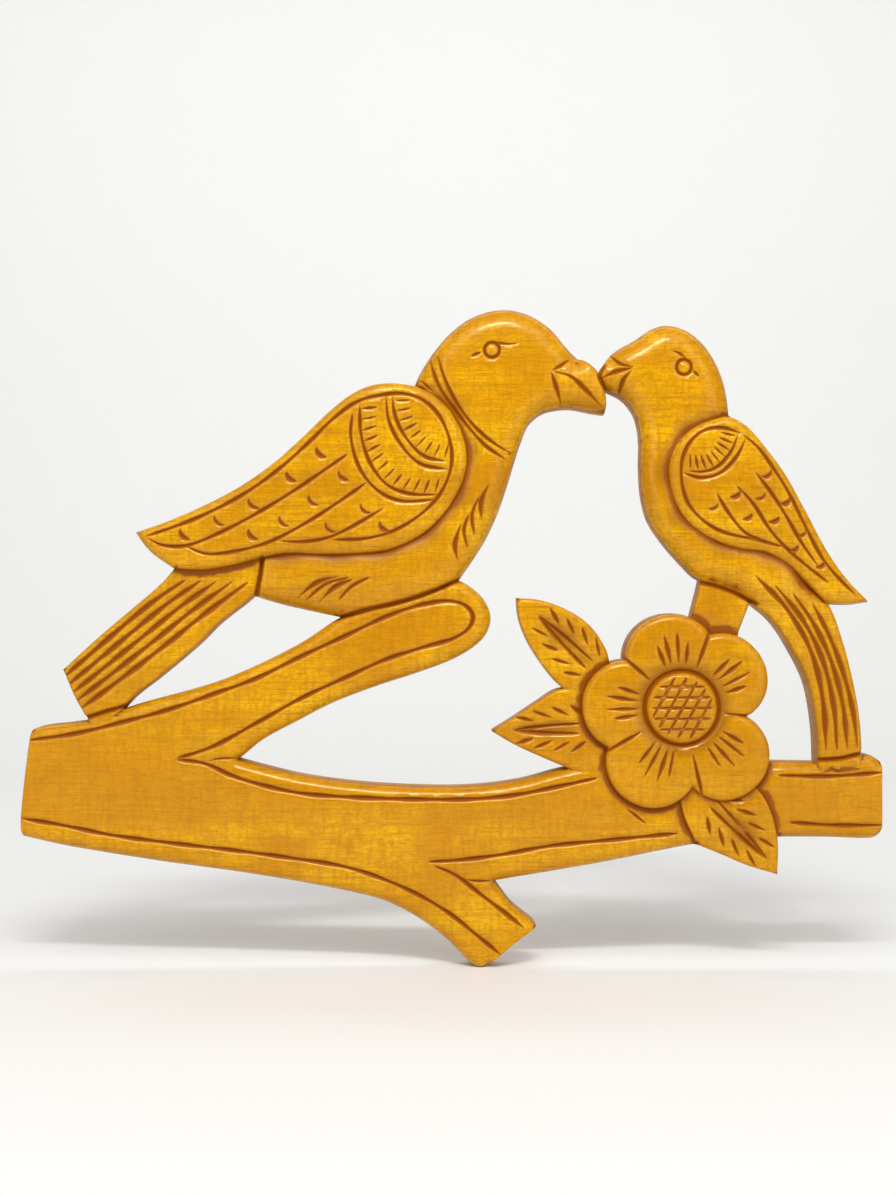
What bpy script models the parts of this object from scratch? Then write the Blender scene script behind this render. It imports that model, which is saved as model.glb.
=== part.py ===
"""Wooden wall panel: two birds on a branch with a flower, carved in relief from one board.

The back is flat at y = 0 and the relief faces -Y. The origin is the middle of the wall face.
The relief is a height over the board: raised parts with worked edges, less the gouge cuts.
"""

import math

import bmesh
import bpy
import numpy as np
from mathutils import Vector
from mathutils.geometry import delaunay_2d_cdt
from mathutils.kdtree import KDTree

# Driving sizes, in metres

PANEL_LENGTH = 0.380
BOARD_THICKNESS = 0.020

# How far each raised part lies below the face of the board
WING_SUNK = 0.0002
SMALL_WING_SUNK = 0.0010
FLOWER_SUNK = 0.0014
DISC_SUNK = 0.0004
BODY_SUNK = 0.0022
SMALL_BODY_SUNK = 0.0026
BRANCH_SUNK = 0.0050
TAIL_SUNK = 0.0056
LEAF_SUNK = 0.0056
LOWER_LEAF_SUNK = 0.0032
STEM_SUNK = 0.0078

# How much a part swells above its level, and how far in from its edge it does so
BODY_SWELL = 0.0022
BODY_SWELL_REACH = 0.017
PETAL_SWELL = 0.0009
PETAL_SWELL_REACH = 0.009
DISC_SWELL = 0.0012
DISC_SWELL_REACH = 0.013
WING_SWELL = 0.0005
WING_SWELL_REACH = 0.010

# Worked edges
ROUND_EDGE_WIDTH = 0.0055
ROUND_EDGE_DEPTH = 0.0048
BODY_EDGE_WIDTH = 0.0085
BODY_EDGE_DEPTH = 0.0062
CRISP_EDGE_WIDTH = 0.0022
CRISP_EDGE_DEPTH = 0.0016
SAWN_EDGE_WIDTH = 0.0008
SAWN_EDGE_DEPTH = 0.0006
BEAD_WIDTH = 0.0048
BEAD_DEPTH = 0.0026
PETAL_EDGE_WIDTH = 0.0030
PETAL_EDGE_DEPTH = 0.0018
PROUD_EDGE_WIDTH = 0.0014
PROUD_EDGE_DEPTH = 0.0006
WALL_HEIGHT = 0.0045
WALL_WIDTH = 0.0005

# Gouge cuts
BORDER_CUT_WIDTH = 0.0026
BORDER_CUT_DEPTH = 0.0014
FEATHER_CUT_WIDTH = 0.0022
FEATHER_CUT_DEPTH = 0.0012
TAIL_FLUTE_WIDTH = 0.0032
TAIL_FLUTE_DEPTH = 0.0014
TAIL_FLUTE_RUN_OUT = 0.012
BEAK_CUT_WIDTH = 0.0030
BEAK_CUT_DEPTH = 0.0016
FLUTE_WIDTH = 0.0028
FLUTE_DEPTH = 0.0014
SEAM_WIDTH = 0.0030
SEAM_DEPTH = 0.0020
BREAST_STROKE_WIDTH = 0.0033
BREAST_STROKE_DEPTH = 0.0016
SCALE_WIDTH = 0.0034
SCALE_DEPTH = 0.0014
STROKE_WIDTH = 0.0018
STROKE_DEPTH = 0.0009
RING_WIDTH = 0.0024
RING_DEPTH = 0.0012
FLOWER_HOLLOW_WIDTH = 0.016
FLOWER_HOLLOW_DEPTH = 0.0016
# The faces round a wing or a petal sink towards the foot of its wall
WING_HOLLOW_WIDTH = 0.020
WING_HOLLOW_DEPTH = 0.0018
FLOWER_FOOT_WIDTH = 0.013
FLOWER_FOOT_DEPTH = 0.0012
LEAF_HOLLOW_WIDTH = 0.018
LEAF_HOLLOW_DEPTH = 0.0014
RUN_OUT = 0.007
# How strongly a sunk ground steepens towards its bottom, as a power
SUNK_BEND = 2
DISC_HATCH_RUN_OUT = 0.0018

# The pattern drawing: u runs right and v runs down, and this many units make the panel's length.
PATTERN_LENGTH = 865
WALL_FACE_AT = (475, 478)
UNIT = PANEL_LENGTH / PATTERN_LENGTH

# How closely chords follow a curve, and how far apart the points of the faces are
CURVE_SAG = 0.00016
LONGEST_CHORD = 0.016
SHORTEST_CHORD = 0.0018
ROUND_CHORDS = 2
CURVE_STEPS = 12
SWELL_GRID = 0.011
GRID_ROW = SWELL_GRID * math.sqrt(3) / 2
GRID_CLEARANCE = SWELL_GRID / 2
CLEARANCE_STEP = SWELL_GRID / 3
FEWEST_CHORDS = 3
JOINED_POINTS = 0.00006
SHOWING_SLACK = 0.0003
RING_CLEARANCE = 0.93
RING_POINTS = 24
POINTS_AT_A_TIME = 4000

ROUNDED = (0.0, ROUND_EDGE_WIDTH, ROUND_EDGE_DEPTH)
BODY_EDGE = (0.0, BODY_EDGE_WIDTH, BODY_EDGE_DEPTH)
CRISP = (0.0, CRISP_EDGE_WIDTH, CRISP_EDGE_DEPTH)
SAWN = (0.0, SAWN_EDGE_WIDTH, SAWN_EDGE_DEPTH)
BEADED = (WALL_HEIGHT, BEAD_WIDTH, BEAD_DEPTH)
PETAL_EDGE = (WALL_HEIGHT, PETAL_EDGE_WIDTH, PETAL_EDGE_DEPTH)
PROUD_EDGE = (WALL_HEIGHT, PROUD_EDGE_WIDTH, PROUD_EDGE_DEPTH)
HIDDEN = None

# The branch with its stub and its twig

BRANCH_OUTLINE = (
    (ROUNDED, (236, 761), (262, 768), (300, 777), (350, 784), (410, 788), (470, 788), (520, 782),
     (566, 770), (650, 757), (770, 763), (821, 764)),
    (ROUNDED, (821, 764), (840, 758), (862, 756), (875, 757), (884, 763)),
    (SAWN, (884, 763), (884, 785), (884, 834)),
    (ROUNDED, (884, 834), (878, 839), (830, 839), (777, 839), (737, 841), (697, 846), (600, 865),
     (494, 883)),
    (ROUNDED, (494, 883), (511, 906), (524, 917), (532, 923), (537, 929)),
    (SAWN, (537, 929), (520, 941), (490, 966)),
    (ROUNDED, (490, 966), (481, 970), (471, 966), (450, 945), (422, 923), (386, 904), (340, 892),
     (250, 876), (150, 862), (60, 847), (20, 838)),
    (SAWN, (20, 838), (19, 824), (22, 788), (29, 731)),
    (ROUNDED, (29, 731), (36, 728), (86, 721), (132, 706), (210, 684), (250, 668), (300, 643),
     (342, 616), (380, 601), (420, 589), (452, 577)),
    (ROUNDED, (452, 577), (471, 587), (485, 601), (491, 618), (486, 635), (473, 648), (450, 661),
     (415, 674), (378, 686), (331, 704), (296, 722), (261, 741), (236, 761)),
)
BRANCH_BORDER_CUTS = (
    ((26, 741), (75, 734), (120, 723), (165, 711), (217, 693), (255, 679), (300, 657), (345, 636),
     (390, 615), (425, 604), (450, 601), (466, 606), (473, 616), (470, 627), (455, 638), (425, 647),
     (385, 660), (345, 678), (300, 699), (255, 724), (210, 748), (173, 760)),
    ((173, 760), (203, 764), (230, 776), (262, 786), (300, 794), (350, 798), (410, 800), (470, 800),
     (515, 796), (560, 787), (601, 778)),
    ((18, 819), (60, 826), (110, 836), (170, 844), (230, 851), (290, 859), (345, 868), (385, 881),
     (420, 897), (450, 915), (475, 935), (502, 957)),
    ((426, 863), (460, 861), (500, 856), (550, 847), (610, 841), (682, 834)),
    ((432, 866), (455, 876), (480, 895), (505, 914), (526, 931)),
    ((777, 776), (830, 777), (886, 773)),
    ((788, 823), (835, 826), (886, 826)),
)

# The big bird

TAIL_OUTLINE = (
    (CRISP, (61, 670), (97, 637), (130, 609), (160, 583), (180, 560)),
    (HIDDEN, (180, 560), (225, 535), (285, 550), (285, 560)),
    (CRISP, (285, 560), (252, 596), (217, 624), (198, 643), (158, 677), (131, 698), (118, 712)),
    (HIDDEN, (118, 712), (91, 730)),
    (CRISP, (91, 730), (85, 719), (73, 698), (61, 670)),
)
TAIL_FLUTES = 5
TAIL_TOP_FLUTE = ((58, 681), (108, 638), (146, 606), (187, 578))
TAIL_FOOT_FLUTE = ((74, 713), (128, 673), (180, 633), (223, 599), (250, 580))
BODY_OUTLINE = (
    (BODY_EDGE, (412, 391), (419, 373), (430, 355), (446, 335), (465, 319), (485, 310), (508, 307),
     (533, 314), (553, 328), (568, 346), (579, 357)),
    (CRISP, (579, 357), (589, 362), (597, 369), (603, 380), (606, 392), (607, 403), (606, 412)),
    (BODY_EDGE, (606, 412), (588, 409), (572, 406), (557, 407), (543, 411), (530, 422), (522, 440),
     (515, 461), (508, 484), (498, 513), (486, 539), (473, 560), (457, 583)),
    (ROUNDED, (457, 583), (425, 599), (385, 611), (342, 618)),
    (BODY_EDGE, (342, 618), (300, 609), (275, 603), (252, 596)),
    (CRISP, (252, 596), (258, 579), (262, 556)),
    (HIDDEN, (262, 556), (330, 480), (400, 430), (412, 391)),
)
BIG_EYE = (492, 350)
EYE_RADIUS = 7.5
EYE_CUT_WIDTH = 0.0021
EYE_CUT_DEPTH = 0.0012
COLLAR_CUTS = (
    ((430, 361), (438, 384), (452, 406), (470, 429), (487, 447), (507, 460)),
    ((438, 356), (444, 377), (458, 405), (476, 428), (495, 444), (511, 453)),
)
BIG_BEAK_CUTS = (
    ((570, 359), (560, 366), (551, 371)),
    ((551, 371), (570, 376), (586, 390), (604, 408)),
    ((551, 371), (556, 386), (562, 405)),
)
BREAST_CUTS = (
    ((458, 561), (455, 545), (462, 521)),
    ((468, 549), (464, 530), (470, 512)),
    ((475, 537), (472, 515), (480, 495)),
    ((482, 521), (481, 502), (490, 482)),
)
BELLY_CUTS = (
    ((297, 598), (318, 582), (341, 576)),
    ((305, 601), (326, 584), (352, 577)),
    ((319, 602), (335, 587), (356, 578)),
    ((337, 602), (351, 587), (372, 576)),
)
BELLY_SEAM = ((336, 619), (361, 611), (403, 601), (430, 592), (466, 577))
TAIL_SEAM = ((80, 720), (105, 712), (140, 702))
THIGH_SEAM = ((262, 558), (259, 578), (254, 600))

# The big bird's wing

WING_FOOT = ((416, 385), (434, 394), (450, 409), (462, 430), (468, 455), (465, 478), (456, 498),
             (440, 520), (418, 538), (390, 550), (360, 554), (320, 555), (285, 554), (262, 558))
WING_OUTLINE = (
    (BEADED, (134, 532), (165, 521), (200, 506), (240, 485), (274, 461), (303, 435), (328, 411),
     (351, 393), (372, 384), (395, 382), (416, 385)),
    (BEADED, *WING_FOOT, (235, 565), (205, 570), (173, 569)),
    (BEADED, (173, 569), (148, 551), (134, 532)),
)
WING_CUTS = (
    ((145, 537), (175, 527), (205, 515), (245, 494), (280, 469), (308, 444), (335, 418), (358, 402),
     (380, 396), (402, 394), (422, 400), (439, 416), (449, 438), (452, 460), (447, 481), (436, 500),
     (415, 519), (389, 533), (364, 539), (330, 540)),
    ((146, 537), (162, 545), (186, 546), (216, 535), (255, 515), (293, 492), (324, 471), (350, 453)),
    ((186, 546), (207, 554), (238, 551), (270, 542), (305, 524), (338, 503), (368, 482)),
    ((278, 541), (302, 542), (328, 538), (352, 527), (386, 507)),
)
SHOULDER_OUTER_ARC = ((353, 412), (351, 436), (360, 469), (378, 491), (400, 501), (436, 500))
SHOULDER_INNER_ARC = ((360, 404), (361, 433), (370, 463), (387, 485), (409, 494), (440, 495))
EPAULETTE_OUTER_ARC = ((386, 397), (389, 421), (401, 445), (420, 464), (449, 470))
EPAULETTE_INNER_ARC = ((392, 396), (396, 419), (408, 441), (425, 457), (449, 462))
HATCH_FOCUS = (462, 399)
HATCH_LENGTH = 19
HATCH_CLEAR = 1
SHOULDER_HATCHES = 13
EPAULETTE_HATCHES = 9
SCALES_AT = (
    (182, 528), (216, 514), (250, 497), (288, 470), (318, 446), (250, 528), (281, 515), (310, 494),
    (340, 469), (327, 521), (362, 502), (381, 520),
)
SCALE_STROKE = ((0, 0), (-1, 5), (3, 10), (11, 12))

# The small bird

SMALL_BIRD_OUTLINE = (
    (BODY_EDGE, (611, 354), (620, 347), (638, 337), (651, 328), (664, 323), (678, 324), (692, 330),
     (704, 340), (714, 353), (723, 371), (729, 392), (732, 418)),
    (HIDDEN, (732, 418), (745, 470), (790, 555), (812, 585)),
    (CRISP, (812, 585), (831, 606), (844, 640), (856, 687), (862, 725), (864, 768)),
    (HIDDEN, (864, 768), (820, 770)),
    (CRISP, (820, 770), (818, 727), (810, 684), (797, 656), (776, 623), (752, 602)),
    (BODY_EDGE, (752, 602), (736, 591), (716, 584), (700, 579), (685, 565), (662, 538), (650, 518),
     (644, 494), (642, 465), (642, 436), (637, 413), (625, 397), (608, 388)),
    (CRISP, (608, 388), (600, 384), (596, 378), (600, 370), (611, 354)),
)
SMALL_EYE = (684, 367)
SMALL_BEAK_CUTS = (
    ((610, 352), (620, 363), (635, 367)),
    ((600, 379), (614, 372), (635, 367)),
    ((633, 369), (624, 379), (619, 396)),
)
SMALL_TAIL_FLUTES = 4
SMALL_TAIL_INNER_FLUTE = ((753, 573), (788, 610), (814, 658), (825, 710), (827, 754))
SMALL_TAIL_OUTER_FLUTE = ((812, 601), (836, 649), (849, 690), (857, 727), (859, 751))
SMALL_TAIL_SEAM = ((808, 761), (838, 759), (868, 753))
STEM_TOP_SEAM = ((690, 580), (715, 585), (735, 592), (758, 604))

SMALL_WING_FOOT = ((730, 414), (708, 420), (690, 429), (675, 445), (668, 466), (671, 492), (683, 517),
                   (705, 536), (738, 549), (766, 553), (788, 565), (806, 582), (827, 604))
SMALL_WING_OUTLINE = (
    (BEADED, (871, 602), (848, 578), (829, 551), (808, 512), (787, 474), (765, 444), (748, 425),
     (730, 414)),
    (BEADED, *SMALL_WING_FOOT),
    (BEADED, (827, 604), (850, 605), (871, 602)),
)
SMALL_WING_CUTS = (
    ((741, 434), (722, 428), (703, 431), (688, 445), (681, 466), (686, 500), (702, 520), (722, 532),
     (761, 541), (780, 547)),
    ((741, 434), (757, 447), (772, 467), (790, 496), (805, 527), (825, 563), (857, 597)),
    ((753, 470), (770, 492), (786, 517), (801, 543), (818, 567)),
    ((734, 484), (752, 503), (771, 532), (792, 554), (829, 584)),
    ((715, 491), (728, 513), (745, 533), (764, 542), (788, 548)),
)
SMALL_SHOULDER_OUTER_ARC = ((746, 437), (736, 457), (720, 473), (701, 478), (682, 473))
SMALL_SHOULDER_INNER_ARC = ((738, 433), (731, 451), (717, 467), (702, 472), (686, 471))
SMALL_HATCH_FOCUS = (689, 425)
SMALL_HATCHES = 9
SMALL_SCALES_AT = (
    (771, 470), (790, 497), (765, 492), (740, 490), (718, 502), (752, 512), (779, 515), (806, 529),
    (798, 544), (825, 560),
)
SMALL_SCALE_STROKE = ((0, 0), (-2, 5), (-5, 7), (-12, 7))

# The flower, its stem and its leaves

STEM_OUTLINE = (
    (CRISP, (705, 560), (702, 583), (694, 615), (688, 645)),
    (HIDDEN, (688, 645), (733, 655)),
    (CRISP, (733, 655), (742, 630), (753, 601), (760, 580)),
    (HIDDEN, (760, 580), (705, 560)),
)
FLOWER_CENTRE = (682, 708)
DISC_RADIUS = 35
DISC_RING_RADIUS = 37.5
DISC_HATCH_SPACING = 10.7
DISC_HATCH_LINES = 5
DISC_HATCH_SLANT = 61
DISC_HATCH_CLEAR = 4
FLOWER_HEART_RADIUS = 50
# Each petal: its direction in degrees, how far out its middle lies, and half its length and width
PETALS = (
    (102, 51, 44.5, 47),
    (35, 53, 43, 46),
    (-48, 66, 44, 46),
    (-118, 62, 46.5, 48),
    (178, 56, 44.5, 46),
)
# Each cut between two petals, and each fan of strokes on a petal: direction, where it begins and ends
PETAL_DIVIDES = ((70, 40, 94), (-7, 40, 86), (-77, 44, 94), (-150, 44, 102), (139, 40, 88))
PETAL_STROKES = ((99, 43, 83), (33, 43, 84), (-43, 44, 86), (-114, 41, 86), (176, 42, 84))
PETAL_STROKE_SPREAD = (-14, -5, 5, 13)
LOWER_LEAF_FEET = (((678, 794), (685, 820), (697, 845)), ((778, 834), (775, 820), (768, 802), (756, 785)))
LEAF_OUTLINES = (
    (
        (CRISP, (517, 598), (540, 600), (566, 609), (590, 625), (607, 650), (612, 670)),
        (HIDDEN, (612, 670), (640, 700), (610, 715), (592, 708)),
        (CRISP, (592, 708), (559, 685), (541, 663), (527, 640), (519, 618), (517, 598)),
    ),
    (
        (CRISP, (492, 732), (513, 719), (537, 703), (559, 690), (594, 690)),
        (HIDDEN, (594, 690), (640, 700), (630, 760), (600, 781)),
        (CRISP, (600, 781), (566, 768), (540, 757), (514, 745), (492, 732)),
    ),
    (
        (PROUD_EDGE, *LOWER_LEAF_FEET[0]),
        (CRISP, (697, 845), (722, 855), (748, 866), (778, 875)),
        (CRISP, (778, 875), (779, 851), (778, 834)),
        (PROUD_EDGE, *LOWER_LEAF_FEET[1]),
        (HIDDEN, (756, 785), (715, 765), (678, 794)),
    ),
)
LEAVES_SUNK = (LEAF_SUNK, LEAF_SUNK, LOWER_LEAF_SUNK)
LEAF_RIBS = (
    ((537, 614), (562, 637), (592, 667)),
    ((511, 731), (545, 730), (583, 729)),
    ((769, 861), (745, 835), (712, 802)),
)
LEAF_RIB_SPREAD = 5
LEAF_RIB_WAIST = 3.5
# Where a vein begins near the leaf's edge and where it ends near the rib: along the rib, and out from it
LEAF_VEIN_BEGIN = ((4, 14), (22, 19), (40, 23), (58, 25))
LEAF_VEIN_END = ((25, 8), (43, 11), (61, 12), (77, 12))

BEAK_SEAM = ((604, 366), (600, 375), (607, 390))
SEAMS = (BELLY_SEAM, TAIL_SEAM, THIGH_SEAM, SMALL_TAIL_SEAM, STEM_TOP_SEAM, BEAK_SEAM)

WOOD_COLOUR = (0.66, 0.29, 0.012, 1.0)
WOOD_ROUGHNESS = 0.35
SHARP_ANGLE = 38


def on_board(points):
    """Pattern points as metres across and up from the middle of the wall face."""
    return (np.array(points, dtype=float) - WALL_FACE_AT) * (UNIT, -UNIT)


def curve_through(points):
    """A dense smooth curve through the points, its bends in proportion to their spacing."""
    if len(points) == 2:
        return points[0] + np.linspace(0, 1, CURVE_STEPS)[:, None] * (points[1] - points[0])
    padded = np.vstack([2 * points[0] - points[1], points, 2 * points[-1] - points[-2]])
    gaps = np.linalg.norm(np.diff(padded, axis=0), axis=1) ** 0.5
    knots = np.concatenate([[0], np.cumsum(gaps)])
    pieces = []
    for i in range(1, len(padded) - 2):
        p0, p1, p2, p3 = padded[i - 1:i + 3]
        k0, k1, k2, k3 = knots[i - 1:i + 3]
        t = np.linspace(k1, k2, CURVE_STEPS, endpoint=False)[:, None]
        a1 = ((k1 - t) * p0 + (t - k0) * p1) / (k1 - k0)
        a2 = ((k2 - t) * p1 + (t - k1) * p2) / (k2 - k1)
        a3 = ((k3 - t) * p2 + (t - k2) * p3) / (k3 - k2)
        b1 = ((k2 - t) * a1 + (t - k0) * a2) / (k2 - k0)
        b2 = ((k3 - t) * a2 + (t - k1) * a3) / (k3 - k1)
        pieces.append(((k2 - t) * b1 + (t - k1) * b2) / (k2 - k1))
    return np.vstack(pieces + [points[-1:]])


def arc_lengths(line):
    """The distance along a line to each of its points."""
    return np.concatenate([[0], np.cumsum(np.linalg.norm(np.diff(line, axis=0), axis=1))])


def chords(points, longest=LONGEST_CHORD):
    """A smooth curve through the points, as chords that leave it by no more than CURVE_SAG."""
    dense = curve_through(points)
    steps = np.diff(dense, axis=0)
    lengths = np.linalg.norm(steps, axis=1)
    heading = np.unwrap(np.arctan2(steps[:, 1], steps[:, 0]))
    least_bend = 8 * CURVE_SAG / longest ** 2
    bend = np.maximum(np.abs(np.gradient(heading)) / lengths, least_bend)
    chord = np.maximum(np.sqrt(8 * CURVE_SAG / bend), SHORTEST_CHORD)
    needed = np.concatenate([[0], np.cumsum(lengths / chord)])
    marks = np.linspace(0, needed[-1], math.ceil(needed[-1]) + 1)
    return np.column_stack([np.interp(marks, needed, dense[:, axis]) for axis in (0, 1)])


def nearest_on(line, points):
    """For each point, its distance from the line and how far along the line that is."""
    starts = line[:-1]
    steps = np.diff(line, axis=0)
    lengths = np.linalg.norm(steps, axis=1)
    along = arc_lengths(line)
    distance = np.empty(len(points))
    position = np.empty(len(points))
    for first in range(0, len(points), POINTS_AT_A_TIME):
        some = slice(first, first + POINTS_AT_A_TIME)
        gap = points[some][:, None, :] - starts
        share = np.clip((gap * steps).sum(axis=2) / lengths ** 2, 0, 1)
        away = ((gap - share[:, :, None] * steps) ** 2).sum(axis=2)
        best = away.argmin(axis=1)
        row = np.arange(len(best))
        distance[some] = np.sqrt(away[row, best])
        position[some] = along[best] + share[row, best] * lengths[best]
    return distance, position


def inside(outline, points):
    """Which points lie inside a closed outline."""
    crossings = np.zeros(len(points), dtype=int)
    x, z = points.T
    for (ax, az), (bx, bz) in zip(outline, np.roll(outline, -1, axis=0)):
        if az != bz:
            crossings += ((az > z) != (bz > z)) & (x < (bx - ax) * (z - az) / (bz - az) + ax)
    return crossings % 2 == 1


def sideways(line):
    """The unit direction to the left of the line at each of its points."""
    ahead = np.gradient(line, axis=0)
    if np.allclose(line[0], line[-1], atol=JOINED_POINTS):
        ahead[0] = line[1] - line[-2]
        ahead[-1] = ahead[0]
    ahead /= np.linalg.norm(ahead, axis=1)[:, None]
    return np.column_stack([-ahead[:, 1], ahead[:, 0]])


def runs_anticlockwise(outline):
    """Whether a closed outline runs anticlockwise."""
    after = np.roll(outline, -1, axis=0)
    return (outline[:, 0] * after[:, 1] - outline[:, 1] * after[:, 0]).sum() > 0


def edge_drop(style, distance):
    """How far a worked edge falls below the level, at a distance in from the outline."""
    wall, width, depth = style
    wall_width = WALL_WIDTH if wall else 0.0
    over = np.clip((distance - wall_width) / width, 0, 1)
    drop = depth * (1 - np.sqrt(1 - (1 - over) ** 2))
    if wall:
        drop += wall * np.clip(1 - distance / wall_width, 0, 1)
    return drop


def edge_steps(style):
    """The distances in from the outline at which a worked edge needs a line of points."""
    wall, width, _ = style
    wall_width = WALL_WIDTH if wall else 0.0
    first = 0 if wall else 1
    turns = [math.pi / 2 * step / ROUND_CHORDS for step in range(first, ROUND_CHORDS + 1)]
    return [wall_width + width * (1 - math.cos(turn)) for turn in turns]


class Cut:
    """One stroke along a line: a V, or a sunk ground where its bend is more than 1.

    A run-out of nothing leaves its ends at full width.
    """

    def __init__(self, points, width, depth, run_out, bend=1):
        drawn = on_board(points)
        whole = arc_lengths(curve_through(drawn))[-1]
        self.line = chords(drawn, min(LONGEST_CHORD, whole / FEWEST_CHORDS))
        self.along = arc_lengths(self.line)
        self.width = width
        self.depth = depth
        self.bend = bend
        self.run_out = min(run_out, self.along[-1] / 2)

    def swing(self, position):
        """The share of the full cut at a place along it, down to nothing where it runs out."""
        if not self.run_out:
            return np.ones(len(position))
        from_end = np.minimum(position, self.along[-1] - position)
        return np.sqrt(np.clip(from_end / self.run_out, 0, 1))

    def depth_at(self, points):
        """How deep the stroke cuts at each point."""
        depth = np.zeros(len(points))
        reach = self.width / 2
        low = self.line.min(axis=0) - reach
        high = self.line.max(axis=0) + reach
        near = np.all((points > low) & (points < high), axis=1)
        if near.any():
            distance, position = nearest_on(self.line, points[near])
            swing = self.swing(position)
            across = 1 - distance / np.maximum(reach * swing, JOINED_POINTS)
            depth[near] = self.depth * swing * np.clip(across, 0, 1) ** self.bend
        return depth

    def guides(self):
        """The bottom of the cut and its two lips."""
        half = (self.width / 2 * self.swing(self.along))[:, None] * sideways(self.line)
        return [self.line, self.line + half, self.line - half]


class Raised:
    """One raised part of the relief: its outline, level, swell, worked edges, hollow and cuts."""

    def __init__(self, stretches, sunk, swell=0.0, swell_reach=1.0, cuts=(), hollows=()):
        self.level = BOARD_THICKNESS - sunk - swell
        self.swell = swell
        self.swell_reach = swell_reach
        self.cuts = list(cuts)
        self.hollows = list(hollows)
        lines = [(style, chords(on_board(points))) for style, *points in stretches]
        self.outline = np.vstack([line[:-1] for _, line in lines])
        self.edges = [(style, line) for style, line in lines if style is not HIDDEN]
        self.inward = 1 if runs_anticlockwise(self.outline) else -1
        self.low = self.outline.min(axis=0) - JOINED_POINTS
        self.high = self.outline.max(axis=0) + JOINED_POINTS

    def holds(self, points):
        """Which points lie on this part, its outline included."""
        found = np.all((points > self.low) & (points < self.high), axis=1)
        if found.any():
            closed = np.vstack([self.outline, self.outline[:1]])
            near = points[found]
            found[found] = inside(self.outline, near) | (nearest_on(closed, near)[0] < JOINED_POINTS)
        return found

    def height(self, points):
        """The height of the worked face above the back, before the cuts."""
        drop = np.zeros(len(points))
        margin = np.full(len(points), self.swell_reach)
        for style, line in self.edges:
            distance = nearest_on(line, points)[0]
            margin = np.minimum(margin, distance)
            drop = np.maximum(drop, edge_drop(style, distance))
        swell = self.swell * (1 - (1 - margin / self.swell_reach) ** 2)
        if self.hollows:
            drop += np.max([hollow.depth_at(points) for hollow in self.hollows], axis=0)
        return self.level + swell - drop

    def deepest_cut(self, points):
        """The deepest of the part's own cuts at each point."""
        depths = [cut.depth_at(points) for cut in self.cuts]
        return np.max(depths, axis=0) if depths else np.zeros(len(points))

    def drafts(self):
        """Lines that the front may need: each with the points that tell whether it shows.

        The last value is how many parts may hold a point for the line to be needed there anyway.
        """
        borders = [line for _, line in self.edges]
        for style, line in self.edges:
            steps = edge_steps(style)
            inwards = self.inward * sideways(line)
            yield line, line + steps[0] * inwards, 1
            for distance in steps:
                ring = line + distance * inwards
                true_distance = np.min([nearest_on(border, ring)[0] for border in borders], axis=0)
                clear = true_distance > distance * RING_CLEARANCE
                for run in runs_of(clear):
                    yield ring[run], ring[run], -1
        for cut in self.cuts:
            for guide in cut.guides():
                yield guide, guide, 0


def runs_of(kept):
    """The slices of two or more neighbours that are kept."""
    edges = np.flatnonzero(np.diff(np.concatenate([[0], kept.astype(int), [0]])))
    return [slice(a, b) for a, b in zip(edges[::2], edges[1::2]) if b - a > 1]


def survey(parts, points, with_cuts=False):
    """How many parts hold each point, and the height of the front there."""
    count = np.zeros(len(points), dtype=int)
    top = np.zeros(len(points))
    for part in parts:
        held = part.holds(points)
        if held.any():
            count += held
            own = part.height(points[held])
            if with_cuts:
                own -= part.deepest_cut(points[held])
            top[held] = np.maximum(top[held], own)
    return count, top


def guide_lines(parts, joins):
    """Every line that the triangles of the front must follow, with the points of it to keep."""
    drafts = [(part, *draft) for part in parts for draft in part.drafts()]
    lines = np.vstack([line for _, line, _, _ in drafts])
    probes = np.vstack([probe for _, _, probe, _ in drafts])
    count = survey(parts, lines)[0]
    top = survey(parts, probes)[1]
    first = 0
    for part, line, probe, holders in drafts:
        mine = slice(first, first + len(line))
        first += len(line)
        shows = part.holds(probe) & (part.height(probe) > top[mine] - SHOWING_SLACK)
        yield line, shows | (count[mine] <= holders)
    for join in joins:
        for guide in join.guides():
            yield guide, np.ones(len(guide), dtype=bool)


def on_any(parts, points):
    """Which points lie on the board at all."""
    return np.any([inside(part.outline, points) for part in parts], axis=0)


def spread_points(parts, taken):
    """Points in a honeycomb over the board, clear of the lines, to carry the swell of the faces."""
    tree = KDTree(len(taken))
    for i, point in enumerate(taken):
        tree.insert((*point, 0.0), i)
    tree.balance()
    low = np.min([part.low for part in parts], axis=0)
    high = np.max([part.high for part in parts], axis=0)
    rows = []
    for row, z in enumerate(np.arange(low[1], high[1], GRID_ROW)):
        x = np.arange(low[0] + row % 2 * SWELL_GRID / 2, high[0], SWELL_GRID)
        rows.append(np.column_stack([x, np.full(len(x), z)]))
    grid = np.vstack(rows)
    grid = grid[on_any(parts, grid)]
    return [point for point in grid if tree.find((*point, 0.0))[2] > GRID_CLEARANCE]


def front_triangles(parts, joins):
    """The points of the front across and up, and the triangles between them."""
    points = []
    edges = []
    taken = []
    for line, kept in guide_lines(parts, joins):
        needed = kept.copy()
        needed[1:] |= kept[:-1]
        needed[:-1] |= kept[1:]
        places = len(points) + np.cumsum(needed) - 1
        points += list(line[needed])
        edges += [(places[i], places[i + 1]) for i in range(len(line) - 1) if kept[i] or kept[i + 1]]
        for i in np.flatnonzero(needed[1:] & needed[:-1]):
            pieces = math.ceil(math.dist(line[i], line[i + 1]) / CLEARANCE_STEP) + 1
            taken += list(np.linspace(line[i], line[i + 1], pieces))
    points += spread_points(parts, taken)
    filled = delaunay_2d_cdt([Vector(point) for point in points], edges, [], 0, JOINED_POINTS)
    places = np.array([tuple(place) for place in filled[0]])
    corners = np.array(filled[2])
    return places, corners[on_any(parts, places[corners].mean(axis=1))]


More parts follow.
